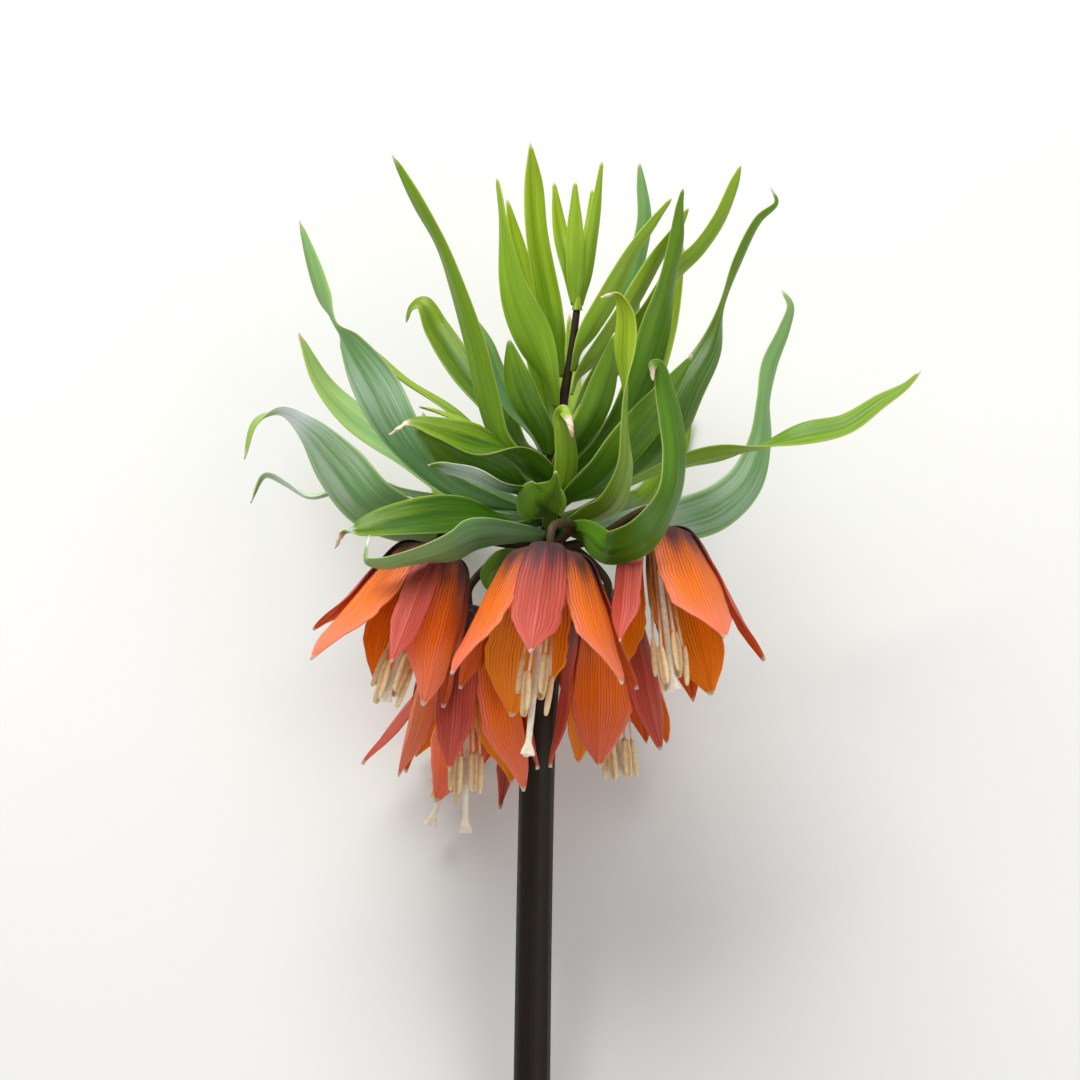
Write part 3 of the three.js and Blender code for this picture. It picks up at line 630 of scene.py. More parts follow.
@dataclass(frozen=True)
class TepalFinish:
    """Fritillary tepal: thin waxy petal flesh, netted with fine dark veins that run to the tip.

    The eye sees a purple-brown shoulder, orange or brick flesh with hair-fine dark lines, a
    pinker margin, a white point and a deeper inside, brightened with painted glow of light shining through.

    Args:
        name: The material's name.
        flesh: Colour of the middle of the outer face.
        margin: Colour of the outer face's edges.
        vein: Colour of the veins.
        inside: Colour of the inner face, made brighter as painted glow of light shining through the tepal.
        shoulder: Colour at the stalk.
        point: Colour of the very tip.
        pearl: Colour of the nectary inside.
        veins: Number of veins across the tepal.
        vein_depth: How dark the veins are.
        patches: Scale of the skin's duller patches, in features to the metre.
        nectary_place: Where the nectary lies along the tepal.
        nectary_spread: Its half width and half length as shares of the tepal's own.
        glow: What light does in it.
    """

    name: str
    flesh: str
    margin: str
    vein: str
    inside: str
    shoulder: str = "#34222b"
    point: str = "#f3e4cf"
    pearl: str = "#efece2"
    veins: float = 18
    vein_depth: float = 0.7
    patches: float = 140.0
    nectary_place: float = 0.16
    nectary_spread: tuple[float, float] = (0.14, 0.045)
    glow: Flesh = Flesh(ior=1.4, sheen=0.3, glow=0.5, reach=(1.0, 0.35, 0.05), depth=2.2)

    def material(self) -> bpy.types.Material:
        """Build the tepal's material."""
        across, along = self.nectary_spread
        middle = (-0.5 / across, -self.nectary_place / along, 0.0)
        rows = (
            # fine dark veins, stronger in some streaks than in others
            ("drawn out", Kind.STRETCH, ("uv", (26.0, 2.2, 1.0))),
            ("streaks", Kind.NOISE, ("drawn out", 1.0, 3.0)),
            ("veins", Kind.BANDS, ("uv", VEIN_WAVE * self.veins, 3.0, 2.0)),
            ("lines", Kind.RANGE, ("veins", 0.27, 0.02, 0.0, self.vein_depth)),
            ("faint", Kind.RANGE, ("streaks", 0.32, 0.62, 0.12, 1.0)),
            ("drawn", Kind.PRODUCT, ("lines", "faint")),
            # the flesh of either face
            ("drift", Kind.RANGE, ("streaks", 0.3, 0.7, -0.25, 0.25)),
            ("edge", Kind.CLAMPED_SUM, ("margin", "drift")),
            ("face", Kind.MIX, ("edge", self.flesh, self.margin)),
            # the inner face's orange, partly painted glow of light shining through the tepal
            ("both", Kind.MIX, ("inner", "face", self.inside)),
            ("veined", Kind.MIX, ("drawn", "both", self.vein)),
            # the dark shoulder, which runs down along the veins
            ("spread", Kind.PRODUCT_PLUS, ("lines", 1.2, 0.42)),
            ("shading", Kind.PRODUCT, ("shoulder", "spread")),
            ("collar", Kind.RANGE, ("shoulder", 0.46, 0.94, 0.0, 0.92)),
            ("dark", Kind.LARGER, ("shading", "collar")),
            ("darkened", Kind.MIX, ("dark", "veined", self.shoulder)),
            # the round nectary on the inner face, near the foot
            ("spot", Kind.STRETCH, ("uv", (1 / across, 1 / along, 1.0), middle)),
            ("away", Kind.LENGTH, ("spot",)),
            ("disc", Kind.RANGE, ("away", 0.75, 1.0, 1.0, 0.0)),
            ("nectary", Kind.PRODUCT, ("disc", "inner")),
            ("pearled", Kind.MIX, ("nectary", "darkened", self.pearl)),
            ("skin", Kind.MIX, ("tip", "pearled", self.point)),
            ("cloudy", Kind.NOISE, ("place", self.patches, 3.0)),
            ("rough", Kind.RANGE, ("cloudy", 0.2, 0.8, 0.42, 0.6)),
            ("relief", Kind.RELIEF, ("veins", 0.3, VEIN_RELIEF)),
        )
        return tissue(self.name, ("inner", "shoulder", "margin", "tip"), rows, self.glow)


@dataclass(frozen=True)
class PithFinish:
    """Soft plant tissue with a matt skin: stamens, style and stem.

    The eye sees a dull skin with a soft sheen and faint streaks along it.

    Args:
        name: The material's name.
        first: Colour where the first zone is 0.
        second: Colour where it is 1.
        third: Colour where the second zone is 1.
        streak: Colour of the streaks along the skin.
        streak_share: How much of it shows.
        gloss: Roughness.
        grain: Scale of the skin's mottling, in features to the metre.
        flesh: What light does in it.
    """

    name: str
    first: str
    second: str
    third: str
    streak: str
    streak_share: float
    gloss: float
    grain: float
    flesh: Flesh = Flesh(ior=1.42, sheen=0.25, glow=0.12, reach=(1.0, 0.7, 0.4), depth=1.0)

    def material(self) -> bpy.types.Material:
        """Build the tissue's material."""
        rows = (
            ("drawn out", Kind.STRETCH, ("uv", (40.0, 5.0, 1.0))),
            ("streaks", Kind.NOISE, ("drawn out", 1.0, 3.0)),
            ("base", Kind.MIX, ("body", self.first, self.second)),
            ("accented", Kind.MIX, ("accent", "base", self.third)),
            ("strength", Kind.RANGE, ("streaks", 0.42, 0.7, 0.0, self.streak_share)),
            ("streaked", Kind.MIX, ("strength", "accented", self.streak)),
            ("mottle", Kind.NOISE, ("place", self.grain, 4.0)),
            ("shade", Kind.RANGE, ("mottle", 0.3, 0.7, 0.86, 1.1)),
            ("skin", Kind.BRIGHTENED, ("streaked", "shade")),
            ("rough", Kind.RANGE, ("mottle", 0.3, 0.7, self.gloss - 0.06, self.gloss + 0.1)),
            ("relief", Kind.RELIEF, ("streaks", 0.12, VEIN_RELIEF)),
        )
        return tissue(self.name, ("body", "accent"), rows, self.flesh)


# the inside colours are the inner faces' orange, made brighter as painted glow of light through the tepals
BRICK_SKIN = TepalFinish(
    "brick_tepal_skin", flesh="#ab412b", margin="#d06456", vein="#5e1a20", inside="#d05a10", veins=13
)
ORANGE_SKIN = TepalFinish(
    "orange_tepal_skin", flesh="#ec720c", margin="#ef8674", vein="#92290f", inside="#ff8e08", veins=23
)
# its third colour, a brown, is painted shade on the filaments near their foot in the bell; the ovary, the
# seat and the anthers' furrows take it too
CREAM_TISSUE = PithFinish(
    "cream_stamen_tissue", first="#f0e8d4", second="#f0d7a6", third="#ad7636", streak="#dcc89e",
    streak_share=0.25, gloss=0.55, grain=600.0,
)
STEM_SKIN = PithFinish(
    "dark_purple_stem_skin", first="#0f0908", second="#74603f", third="#c9cf9f", streak="#35241f",
    streak_share=0.32, gloss=0.45, grain=300.0,
)


# ------------------------------------------------------------------ dressing
def dress(
    piece: bpy.types.Object, material: bpy.types.Material, nodes: Sequence[str]
) -> bpy.types.Object:
    """Give a piece its finish and its place in the part.

    Args:
        piece: The finished mesh.
        material: Its material.
        nodes: The solids that it stands for.

    Returns:
        The same piece.
    """
    piece.data.materials.clear()
    piece.data.materials.append(material)
    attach(piece, "root")
    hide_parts(*nodes)
    return piece


# ------------------------------------------------------------------ the axis
AXIS_POINTS = ((0, 2), (26, 2.3), (52, 6.7), (70, 10), (84, 11))
AXIS_RADII = ((-8, 5), (0, 4.2), (10, 3.4), (30, 2.2), (56, 1.5), (84, 1.1))
AXIS_START, AXIS_TOP = -4.0, 78.3  # heights of the thin axis's foot and of the bud on it
AWAY = (0.0, 1.0, 0.0)


def axis_x(height: Points) -> Points:
    """Give the upper axis's place to the right at a height."""
    return read_straight(AXIS_POINTS, height)


def axis_radius(height: Points) -> Points:
    """Give the upper axis's radius at a height."""
    return read_straight(AXIS_RADII, height)


# ------------------------------------------------------------------ leaves
class LeafKind(Enum):
    """The three looks of the leaves, by their material slots."""

    GLOSSY = "green_leaf"
    GLAUCOUS = "glaucous_leaf"
    FRESH = "fresh_leaf"


LEAF_FINISHES = {
    LeafKind.GLOSSY: LeafFinish("glossy_leaf_cuticle", "#365f06", "#93ae1c", "#55801e", gloss=0.36),
    LeafKind.GLAUCOUS: LeafFinish(
        "waxy_blue_green_leaf", "#689c66", "#a6bf58", "#7dab6c", gloss=0.44, haze=0.1
    ),
    LeafKind.FRESH: LeafFinish("young_yellow_green_leaf", "#5f8806", "#adc42a", "#8cae2e", gloss=0.38),
}

Station = tuple[float, float, float, float, float]


@dataclass(frozen=True)
class WaxAndHighlightPatch:
    """A painted highlight: a place where a leaf's waxy skin is painted white where it catches the light.

    Args:
        along: Its middle along the blade.
        reach: How far it runs from there.
        strength: How white it is.
    """

    along: float
    reach: float
    strength: float


@dataclass(frozen=True)
class LeafPlan:
    """A leaf's line and finish.

    Args:
        name: The solid's name.
        kind: Its look.
        foot: Height of its foot on the axis.
        side: The side that it grows on, in degrees round from the front to the right.
        path: Stations of x, y, z, width and roll.
        dry_from: Share of the length where the dry tip starts.
        wax_and_highlight: Painted highlights, white where the waxy skin catches the light.
        tone: How fresh its green is at the foot, 0 for deep and 1 for fresh; the low tones of leaf_front
            and leaf_front_right_cupped, low in the middle of the whorl, are partly painted shade.
    """

    name: str
    kind: LeafKind
    foot: float
    side: float
    path: tuple[Station, ...]
    dry_from: float = 0.965
    wax_and_highlight: tuple[WaxAndHighlightPatch, ...] = ()
    tone: float = 0.1


# painted highlights: each plan's white patches on the waxy skin stand for light caught on its crests
LEAF_PLANS = (
    # the long ones on the left
    LeafPlan("leaf_left_tall", LeafKind.GLAUCOUS, 11, -88, (
        (-18, -1, 14, 10, 120), (-32, -3, 20, 13, 130), (-47, -8, 36, 15, 150), (-56, -11, 52, 16, 165),
        (-65, -13, 67, 12, 130), (-69, -13, 73, 8, 95), (-73, -12, 82, 7, 130), (-77, -11, 94, 5, 150),
        (-81, -10, 107, 1, 160),
    ), wax_and_highlight=(WaxAndHighlightPatch(0.42, 0.14, 0.4),)),
    LeafPlan("leaf_left_arching", LeafKind.GLAUCOUS, 5, -80, (
        (-12, -3, 4.5, 9, 120), (-24, -9, 6, 13, 120), (-42, -17, 6, 17, 140), (-57, -23, 13, 20, 152),
        (-67, -25, 25, 19, 152), (-77, -26, 37, 13, 130), (-86, -25, 43, 8, 110), (-94, -24, 40, 4, 60),
        (-98, -23, 28, 1, 40),
    ), wax_and_highlight=(WaxAndHighlightPatch(0.73, 0.08, 1.0), WaxAndHighlightPatch(0.55, 0.1, 0.35))),
    LeafPlan("leaf_left_ribbon", LeafKind.GLAUCOUS, 8, -108, (
        (-33, 5, 14, 11, 100), (-48, 4, 18, 12, 98), (-57, 3, 21, 12, 95), (-67, 0, 19, 10, 88),
        (-78, -2, 16, 9, 86), (-86, -2, 20, 7, 100), (-93, -2, 23, 4, 110), (-98, -1, 14, 1, 100),
    ), wax_and_highlight=(WaxAndHighlightPatch(0.75, 0.2, 0.7),)),
    LeafPlan("leaf_left_strip", LeafKind.FRESH, 15, -112, (
        (-10, 6, 28, 6, 95), (-22, 8, 37, 8, 78), (-33, 7, 46, 9, 75), (-47, 5, 55, 9, 75),
        (-58, 3, 64, 8, 78), (-66, 1, 71, 2, 80),
    )),
    LeafPlan("leaf_left_rising", LeafKind.GLOSSY, 20, -52, (
        (-9, -7, 28, 7, 140), (-15, -8, 35, 8, 140), (-19, -9, 48, 9, 150), (-23, -10, 65, 9, 140),
        (-30, -10, 87, 8, 125), (-35, -9, 100, 7, 125), (-42, -8, 113, 6, 130), (-51, -6, 130, 1, 140),
    ), tone=0.75),
    LeafPlan("leaf_left_dark", LeafKind.GLOSSY, 14, -64, (
        (-8, -7, 19, 8, 130), (-15, -11, 24, 11, 150), (-28, -14, 29, 14, 155), (-35, -16, 33, 10, 150),
        (-43, -17, 38, 1, 140),
    )),
    LeafPlan("leaf_left_curled", LeafKind.FRESH, 21, -88, (
        (-8, 0, 28, 6, 100), (-21, -1, 37, 8, 75), (-30, -2, 42, 6, 75), (-38, -3, 45, 4, 80),
        (-42, -3, 46, 1, 110),
    )),
    LeafPlan("leaf_left_white_edged", LeafKind.GLOSSY, 13, -38, (
        (-6, -11, 17, 7, 120), (-15, -18, 19, 9, 110), (-25, -21, 23, 9, 120), (-33, -23, 25, 6, 130),
        (-38, -24, 26, 1, 130),
    ), wax_and_highlight=(WaxAndHighlightPatch(0.6, 0.3, 0.8),)),
    LeafPlan("leaf_left_over", LeafKind.GLOSSY, 17, -26, (
        (0, -9, 23, 8, 150), (-8, -14, 30, 10, 120), (-22, -18, 34, 13, 40), (-35, -20, 38, 10, 45),
        (-44, -20, 40, 5, 60), (-51, -19, 36, 1, 80),
    ), dry_from=0.82, tone=0.0),
    # in front
    LeafPlan("leaf_front_left_broad", LeafKind.GLOSSY, 7.4, -42, (
        (-12, -16, 8.2, 8, 72), (-25, -27, 10, 15, 48), (-38, -38, 9, 17, 42), (-50, -43, 7, 14, 45),
        (-59, -45, 5, 9, 60), (-64, -45, 4, 5, 100), (-67, -44, -1, 1, 120),
    ), dry_from=0.84, wax_and_highlight=(WaxAndHighlightPatch(0.79, 0.05, 0.6),), tone=-0.15),
    LeafPlan("leaf_front_left_low", LeafKind.GLAUCOUS, 2.9, -30, (
        (-9, -19, 3.5, 8, 150), (-22, -42, 3, 12, 145), (-31, -57, -1, 13, 125), (-41, -62, -4, 12, 118),
        (-51, -63, -6, 8, 115), (-56, -62, -5, 5, 110), (-56, -61, -1, 3, 100), (-55, -60, 3, 1, 90),
    ), wax_and_highlight=(WaxAndHighlightPatch(0.95, 0.07, 0.9),), tone=0.2),
    LeafPlan("leaf_front_left_hanging", LeafKind.GLOSSY, -4.5, -26, (
        (-2.5, -11, -5, 7, 165), (-8, -17, -6, 9, 160), (-14, -21, -7.5, 12, 160),
        (-17.5, -23.5, -10.5, 8, 170), (-18.5, -24.5, -15, 1, 178),
    )),
    # its low tone is partly painted shade for the middle of the whorl
    LeafPlan("leaf_front", LeafKind.GLOSSY, 6, 3, (
        (1.5, -7.5, 7.5, 5, 182), (1.5, -10.5, 10.4, 6, 182), (-0.3, -14, 13, 12.5, 182),
        (-1.2, -17, 14, 17, 180), (1, -20.5, 16.5, 11, 174), (3, -23.5, 20, 4, 165),
        (3.5, -25.5, 24, 1, 165),
    ), tone=-0.15),
    LeafPlan("leaf_front_upright", LeafKind.FRESH, 14.5, 12, (
        (5, -9, 18, 7, 190), (7, -13, 27, 8, 185), (6, -16, 38, 6, 180), (5, -17, 42, 5, 175),
        (6, -20, 44, 4, 175), (8, -23, 40, 3, 175), (9, -24, 35, 1, 175),
    ), dry_from=0.78),
    LeafPlan("leaf_front_right_hooked", LeafKind.FRESH, 6, 62, (
        (14, -12, 9, 10, 232), (22, -23, 14, 13, 236), (26, -28, 25, 11, 242), (26, -30, 38, 9, 250),
        (26, -30, 48, 8, 268), (26, -30, 63, 9, 320), (26, -30, 75, 6, 330), (23, -31, 81, 3, 300),
        (18, -31, 80, 1, 270),
    ), dry_from=0.88),
    # its low tone is partly painted shade for the middle of the whorl
    LeafPlan("leaf_front_right_cupped", LeafKind.GLOSSY, 5, 35, (
        (12.5, -20, 4.4, 8, 195), (21.5, -53, -1, 11, 202), (30.5, -61, 3, 13, 208), (39, -60, 15, 12, 225),
        (41, -55, 29, 10, 222), (40, -52, 39, 9, 215), (38, -50, 49, 7, 205), (36, -50, 57, 4, 200),
        (34, -52, 57, 3, 200), (34, -53, 52, 1, 200),
    ), dry_from=0.9, tone=-0.35),
    # the long ones on the right
    LeafPlan("leaf_right_broad", LeafKind.GLOSSY, 12.5, 54, (
        (9, -9, 16, 8, 228), (18, -16, 22, 13, 215), (26, -19, 32, 14, 205), (35, -21, 43, 12, 205),
        (42, -22, 53, 7, 210), (48, -22, 62, 1, 215),
    )),
    LeafPlan("leaf_right_inner", LeafKind.GLOSSY, 20, 30, (
        (6, -8, 28, 7, 210), (15, -12, 42, 10, 195), (20, -12, 56, 8, 190), (23, -13, 70, 1, 190),
    )),
    LeafPlan("leaf_right_tall", LeafKind.GLOSSY, 14, 112, (
        (16, 4, 17, 9, 250), (32, 2, 26, 12, 225), (42, -2, 38, 14, 215), (48, -5, 52, 14, 215),
        (55, -5, 65, 11, 225), (59, -5, 80, 7, 255), (64, -4, 94, 6, 235), (71, -3, 108, 4, 230),
        (77, -2, 114, 2, 230), (75, -2, 119, 1, 230),
    ), dry_from=0.93, wax_and_highlight=(WaxAndHighlightPatch(0.45, 0.12, 0.3),)),
    LeafPlan("leaf_right_upturned", LeafKind.GLAUCOUS, 3.5, 104, (
        (16, 5, 5, 10, 250), (32, 5, 6, 15, 215), (45, 3, 8, 16, 205), (57, 1, 12, 16, 200),
        (67, 0, 21, 14, 205), (72, -1, 35, 10, 220), (73, -1, 48, 8, 235), (75, 0, 60, 7, 215),
        (80, 1, 72, 5, 215), (82, 1, 80, 3, 220), (79, 1, 85, 1, 220),
    ), wax_and_highlight=(WaxAndHighlightPatch(0.2, 0.1, 0.7), WaxAndHighlightPatch(0.42, 0.12, 0.35))),
    LeafPlan("leaf_right_reaching", LeafKind.FRESH, 9, 92, (
        (12, -3, 12, 7, 264), (32, -10, 22, 10, 258), (46, -14, 27, 11, 250), (58, -18, 30, 11, 245),
        (70, -20, 32, 10, 270), (85, -21, 36, 11, 310), (98, -21, 39, 11, 310), (110, -20, 47, 8, 305),
        (118, -19, 52, 4, 300), (123, -18, 57, 1, 300),
    ), tone=-0.35),
    LeafPlan("leaf_right_upright", LeafKind.GLOSSY, 17, 72, (
        (11, -5, 25, 8, 240), (22, -5, 36, 10, 215), (32, -3, 55, 11, 205), (37, -2, 72, 11, 205),
        (41, -1, 88, 8, 220), (44, 0, 102, 6, 215), (45, 0, 113, 3, 215), (46, 0, 119, 1, 215),
    )),
    LeafPlan("leaf_right_far", LeafKind.FRESH, 42, 112, (
        (14, 5, 52, 6, 240), (24, 9, 66, 8, 225), (35, 11, 78, 8, 220), (44, 12, 92, 8, 230),
        (52, 12, 100, 6, 215), (59, 12, 110, 6, 220), (64, 12, 122, 4, 220), (66, 12, 128, 1, 220),
    )),
    LeafPlan("leaf_right_pale", LeafKind.GLAUCOUS, 28, 140, (
        (11, 10, 42, 7, 285), (20, 16, 56, 9, 225), (26, 19, 70, 9, 200), (31, 20, 95, 7, 205),
        (34, 20, 110, 6, 215), (33, 20, 122, 4, 210), (32, 20, 130, 1, 210),
    )),
    # up the thin axis
    LeafPlan("leaf_upper_right_front", LeafKind.FRESH, 58, 60, (
        (11, -3, 64, 5, 235), (15, -4, 72, 7, 205), (21, -5, 82, 7.5, 200), (29, -6, 97, 6, 230),
        (36, -6, 107, 4, 220), (42, -6, 115, 1, 220),
    )),
    LeafPlan("leaf_upper_right", LeafKind.FRESH, 50, 95, (
        (11, 0, 56, 5, 250), (18, 1, 65, 7, 215), (28, 3, 80, 7, 215), (38, 5, 97, 6, 225),
        (45, 6, 107, 4, 220), (48, 6, 113, 1, 220),
    )),
    LeafPlan("leaf_upper_left", LeafKind.FRESH, 46, -60, (
        (2, -4, 54, 7, 140), (-3, -6, 67, 12, 170), (-8, -7, 78, 12, 172), (-11, -7, 87, 9, 170),
        (-14, -6, 107, 4, 130), (-15, -5, 115, 3, 130), (-16, -4, 122, 1, 140),
    ), tone=-0.15),
    LeafPlan("leaf_upper_left_tall", LeafKind.FRESH, 56, -120, (
        (4, 2, 66, 7, 45), (3, 3, 72, 8, 30), (1, 4, 82, 9, 20), (-3, 5, 105, 8, 25),
        (-4, 6, 122, 7, 30), (-5, 6, 135, 1, 40),
    )),
    LeafPlan("leaf_upper_left_short", LeafKind.GLOSSY, 30, -45, (
        (-1, -6, 38, 8, 160), (-7, -9, 49, 10, 170), (-10, -10, 58, 8, 170), (-12, -10, 68, 1, 165),
    )),
    LeafPlan("leaf_upper_left_pale", LeafKind.GLAUCOUS, 28, -105, (
        (-3, 2, 35, 7, 70), (-10, 4, 45, 9, 50), (-16, 5, 57, 8, 40), (-19, 5, 66, 6, 40),
        (-23, 5, 74, 3, 50), (-27, 5, 80, 1, 60),
    )),
    # behind
    LeafPlan("leaf_back_left_long", LeafKind.GLAUCOUS, 10, -128, (
        (-12, 11, 14, 9, 60), (-30, 24, 19, 12, 40), (-48, 34, 32, 12, 30), (-67, 42, 45, 11, 30),
        (-78, 46, 57, 8, 35), (-86, 48, 74, 1, 40),
    )),
    LeafPlan("leaf_back_left_drooping", LeafKind.GLOSSY, 27, -150, (
        (-8, 8, 32, 9, 50), (-15, 15, 44, 10, 30), (-28, 24, 60, 11, 25), (-37, 30, 74, 10, 25),
        (-42, 33, 83, 7, 40), (-46, 36, 82, 3, 50), (-48, 38, 77, 1, 50),
    )),
    LeafPlan("leaf_back_left_low", LeafKind.GLOSSY, 8, -156, (
        (-10, 16, 8, 10, 30), (-20, 36, 10, 14, 20), (-30, 58, 14, 14, 10), (-36, 76.7, 24, 11, 5),
        (-41, 79.6, 36, 6, 5), (-44, 81, 48, 1, 5),
    )),
    LeafPlan("leaf_back_right_low", LeafKind.GLOSSY, 8, 154, (
        (13, 16, 8, 10, 330), (25, 36, 10, 14, 340), (36, 58, 14, 14, 350), (43, 76.7, 24, 11, 355),
        (49, 79.6, 36, 6, 355), (53, 81, 48, 1, 355),
    )),
    LeafPlan("leaf_back_middle", LeafKind.GLOSSY, 13, 180, (
        (2, 14, 17, 9, 360), (4, 32, 24, 13, 360), (6, 50, 36, 13, 360), (8, 68, 52, 11, 360),
        (9, 80, 66, 6, 360), (9, 88, 84, 1, 360),
    )),
    LeafPlan("leaf_back_right_rising", LeafKind.GLOSSY, 18, 142, (
        (9, 9, 25, 8, 315), (22, 22, 36, 11, 330), (34, 32, 54, 11, 335), (42, 38, 74, 8, 335),
        (46, 40, 92, 4, 340), (48, 41, 104, 1, 340),
    )),
    LeafPlan("leaf_back_upright", LeafKind.FRESH, 34, -165, (
        (1, 8, 46, 7, 10), (-2, 14, 64, 9, 10), (-6, 19, 86, 8, 10), (-10, 21, 104, 5, 15),
        (-13, 22, 118, 1, 20),
    )),
)

TUFT_PLANS = (
    ((10, -0.5, 80, 3, 180), (10, -2, 92, 6, 180), (10, -2, 107, 5, 180), (10, -2, 121, 1, 180)),
    ((11.5, 0, 80, 3, 215), (14, 0, 92, 5, 210), (17, 1, 112, 4, 210), (19, 1, 128, 1, 210)),
    ((10, 0.5, 80, 3, 30), (8, 3, 92, 5, 10), (5, 7, 106, 5, 5), (3, 8, 122, 1, 5)),
    ((11.5, 1, 80, 3, 330), (13, 5, 92, 5, 345), (15, 9, 106, 4, 345), (16, 11, 120, 1, 345)),
)


@dataclass
class LeafBlade:
    """One blade through its stations, with ribs, a midrib groove and a softly waved edge.

    Args:
        name: The piece's name.
        stations: x, y, z, width and roll along the blade.
        dry_from: Share of the length where the dry tip starts.
        wax_and_highlight: Painted highlights, white where the waxy skin catches the light.
        chance: The source of this blade's own irregularity.
        tone: How fresh its green is at the foot.
        rib_height: Height of its ribs.
        ribs: Ribs on each side of the middle.
        groove_depth: Depth of the groove along the middle.
        waves: Waves along each edge.
        wave_height: Their height, as a share of the half width.
        trough: How steeply the two halves stand up to their edges.
    """

    name: str
    stations: tuple[Station, ...]
    dry_from: float
    wax_and_highlight: tuple[WaxAndHighlightPatch, ...]
    chance: np.random.Generator
    tone: float = 0.1
    rib_height: float = 0.07
    ribs: float = 3.5
    groove_depth: float = 0.22
    waves: float = 2.6
    wave_height: float = 0.08
    trough: float = 0.24

    def __post_init__(self) -> None:
        """Draw the blade's own irregularity and lay out its lines."""
        self.phase, self.offset = self.chance.uniform(0, 1, 2)
        self.tone += self.chance.uniform(-0.08, 0.1)
        self.line = SmoothLine([station[:3] for station in self.stations])
        self.form = SmoothLine([station[3:] for station in self.stations], LineKind.EVEN)

    def dryness(self, along: Points) -> Points:
        """Give how dry the blade is at shares of its length."""
        return smooth_step(self.dry_from, min(self.dry_from + 0.06, 1), along)

    def surface(self, along: Points, across: Points) -> Points:
        """Give points of the blade's middle sheet."""
        width, roll = self.form.at(along).T
        cosine, sine = rotation_of(roll)
        travel = self.line.direction(along)
        dry = self.dryness(along)
        flat = unit(np.cross(travel, AWAY))
        to_front = np.cross(travel, flat)
        width_way = flat * cosine[:, None] + to_front * sine[:, None]
        upward = np.cross(travel, width_way)
        half = np.maximum(width, LEAF_LEAST_WIDTH) / 2 * (1 - 0.75 * smooth_step(0.98, 1, along))
        half = half * (1 + 0.03 * np.sin(2 * np.pi * (2.3 * along + self.phase))) * (1 - 0.3 * dry)
        rise = self.trough * half * (np.sqrt(across**2 + 0.02) - 0.5)
        crumple = 0.35 * dry * np.sin(90 * along + 5 * across) * across
        fullness = np.minimum(half / 5, 1)
        ribs = self.rib_height * fullness * np.cos(2 * np.pi * self.ribs * across)
        groove = -self.groove_depth * fullness * bump_at(0, 0.09, across)
        sway = np.sin(2 * np.pi * (self.waves * along + self.offset + 0.21 * np.sign(across)))
        wave = self.wave_height * half * across**2 * sway * smooth_step(0, 0.15, along)
        lift = (rise + ribs + groove + wave + crumple)[:, None]
        return self.line.at(along) + width_way * (across * half)[:, None] + upward * lift

    def zones(self, along: Points, across: Points) -> Points:
        """Give the blade's zones: lower face, dry, fresh, and the waxy skin's painted highlights."""
        dry = self.dryness(along)
        fresh = self.tone + 0.55 * smooth_step(0.25, 1, along) + 0.3 * np.abs(across) ** 5
        # painted highlights: white on the waxy skin at the listed places along the blade
        wax_and_highlight = sum(
            (patch.strength * bump_at(patch.along, patch.reach, along) for patch in self.wax_and_highlight),
            np.zeros_like(along),
        )
        return np.column_stack((np.zeros_like(along), dry, fresh, wax_and_highlight))

    def build(self) -> bpy.types.Object:
        """Make the blade."""
        return Blade(
            self.name,
            self.surface,
            self.zones,
            rows=(len(self.stations) - 1) * LEAF_ROWS_PER_STATION,
            columns=LEAF_COLUMNS,
            thickness=LEAF_THICKNESS,
            margin=LEAF_MARGIN,
        ).build()


@dataclass
class Foliage:
    """All the leaves: the whorl round the umbel, those up the thin axis and the tuft on top.

    Args:
        plans: The leaves that stand alone.
        tuft: The stations of the young leaves that stand together.
        bud_radius: Radius of the bud's foot.
    """

    plans: tuple[LeafPlan, ...]
    tuft: tuple[tuple[Station, ...], ...]
    bud_radius: float = 1.8

    def __post_init__(self) -> None:
        """Prepare the three finishes and the source of irregularity."""
        self.finishes = {kind: finish.material() for kind, finish in LEAF_FINISHES.items()}
        self.chance = np.random.default_rng(RANDOM_SEED)

    def foot_station(self, plan: LeafPlan) -> Station:
        """Stand a leaf's foot just off the axis, square to its side."""
        out = float(axis_radius(plan.foot)) + LEAF_BASE_GAP + LEAF_THICKNESS / 2
        cosine, sine = rotation_of(plan.side)
        x = float(axis_x(plan.foot)) + out * float(sine)
        return (x, -out * float(cosine), plan.foot, LEAF_BASE_WIDTH, 180 + plan.side)

    def leaf(self, plan: LeafPlan) -> bpy.types.Object:
        """Make and dress one leaf."""
        name = "_".join(plan.name.split("_")[1:]) + "_leaf"
        stations = (self.foot_station(plan), *plan.path)
        blade = LeafBlade(name, stations, plan.dry_from, plan.wax_and_highlight, self.chance, plan.tone).build()
        return dress(blade, self.finishes[plan.kind], [plan.name])

    def tuft_of_leaves(self) -> bpy.types.Object:
        """Make the young leaves and the bud that they stand on, as one piece."""
        bud = Rod(
            "young_bud",
            SmoothLine(((10.7, 0, AXIS_TOP), (10.85, 0, 82), (11, 0, 86))),
            lambda share, angle: self.bud_radius * (1 - 0.5 * share),
            sides=12,
            steps=6,
            zones=constant_zones(0, 0, 0.4, 0),
        ).build()
        blades = [
            LeafBlade(f"young_leaf_{number}", stations, 0.97, (), self.chance).build()
            for number, stations in enumerate(self.tuft)
        ]
        whole = join([*blades, bud], "tuft_of_young_leaves")
        return dress(whole, self.finishes[LeafKind.FRESH], ["leaf_tuft"])

    def build(self) -> list[bpy.types.Object]:
        """Make every leaf."""
        return [*(self.leaf(plan) for plan in self.plans), self.tuft_of_leaves()]


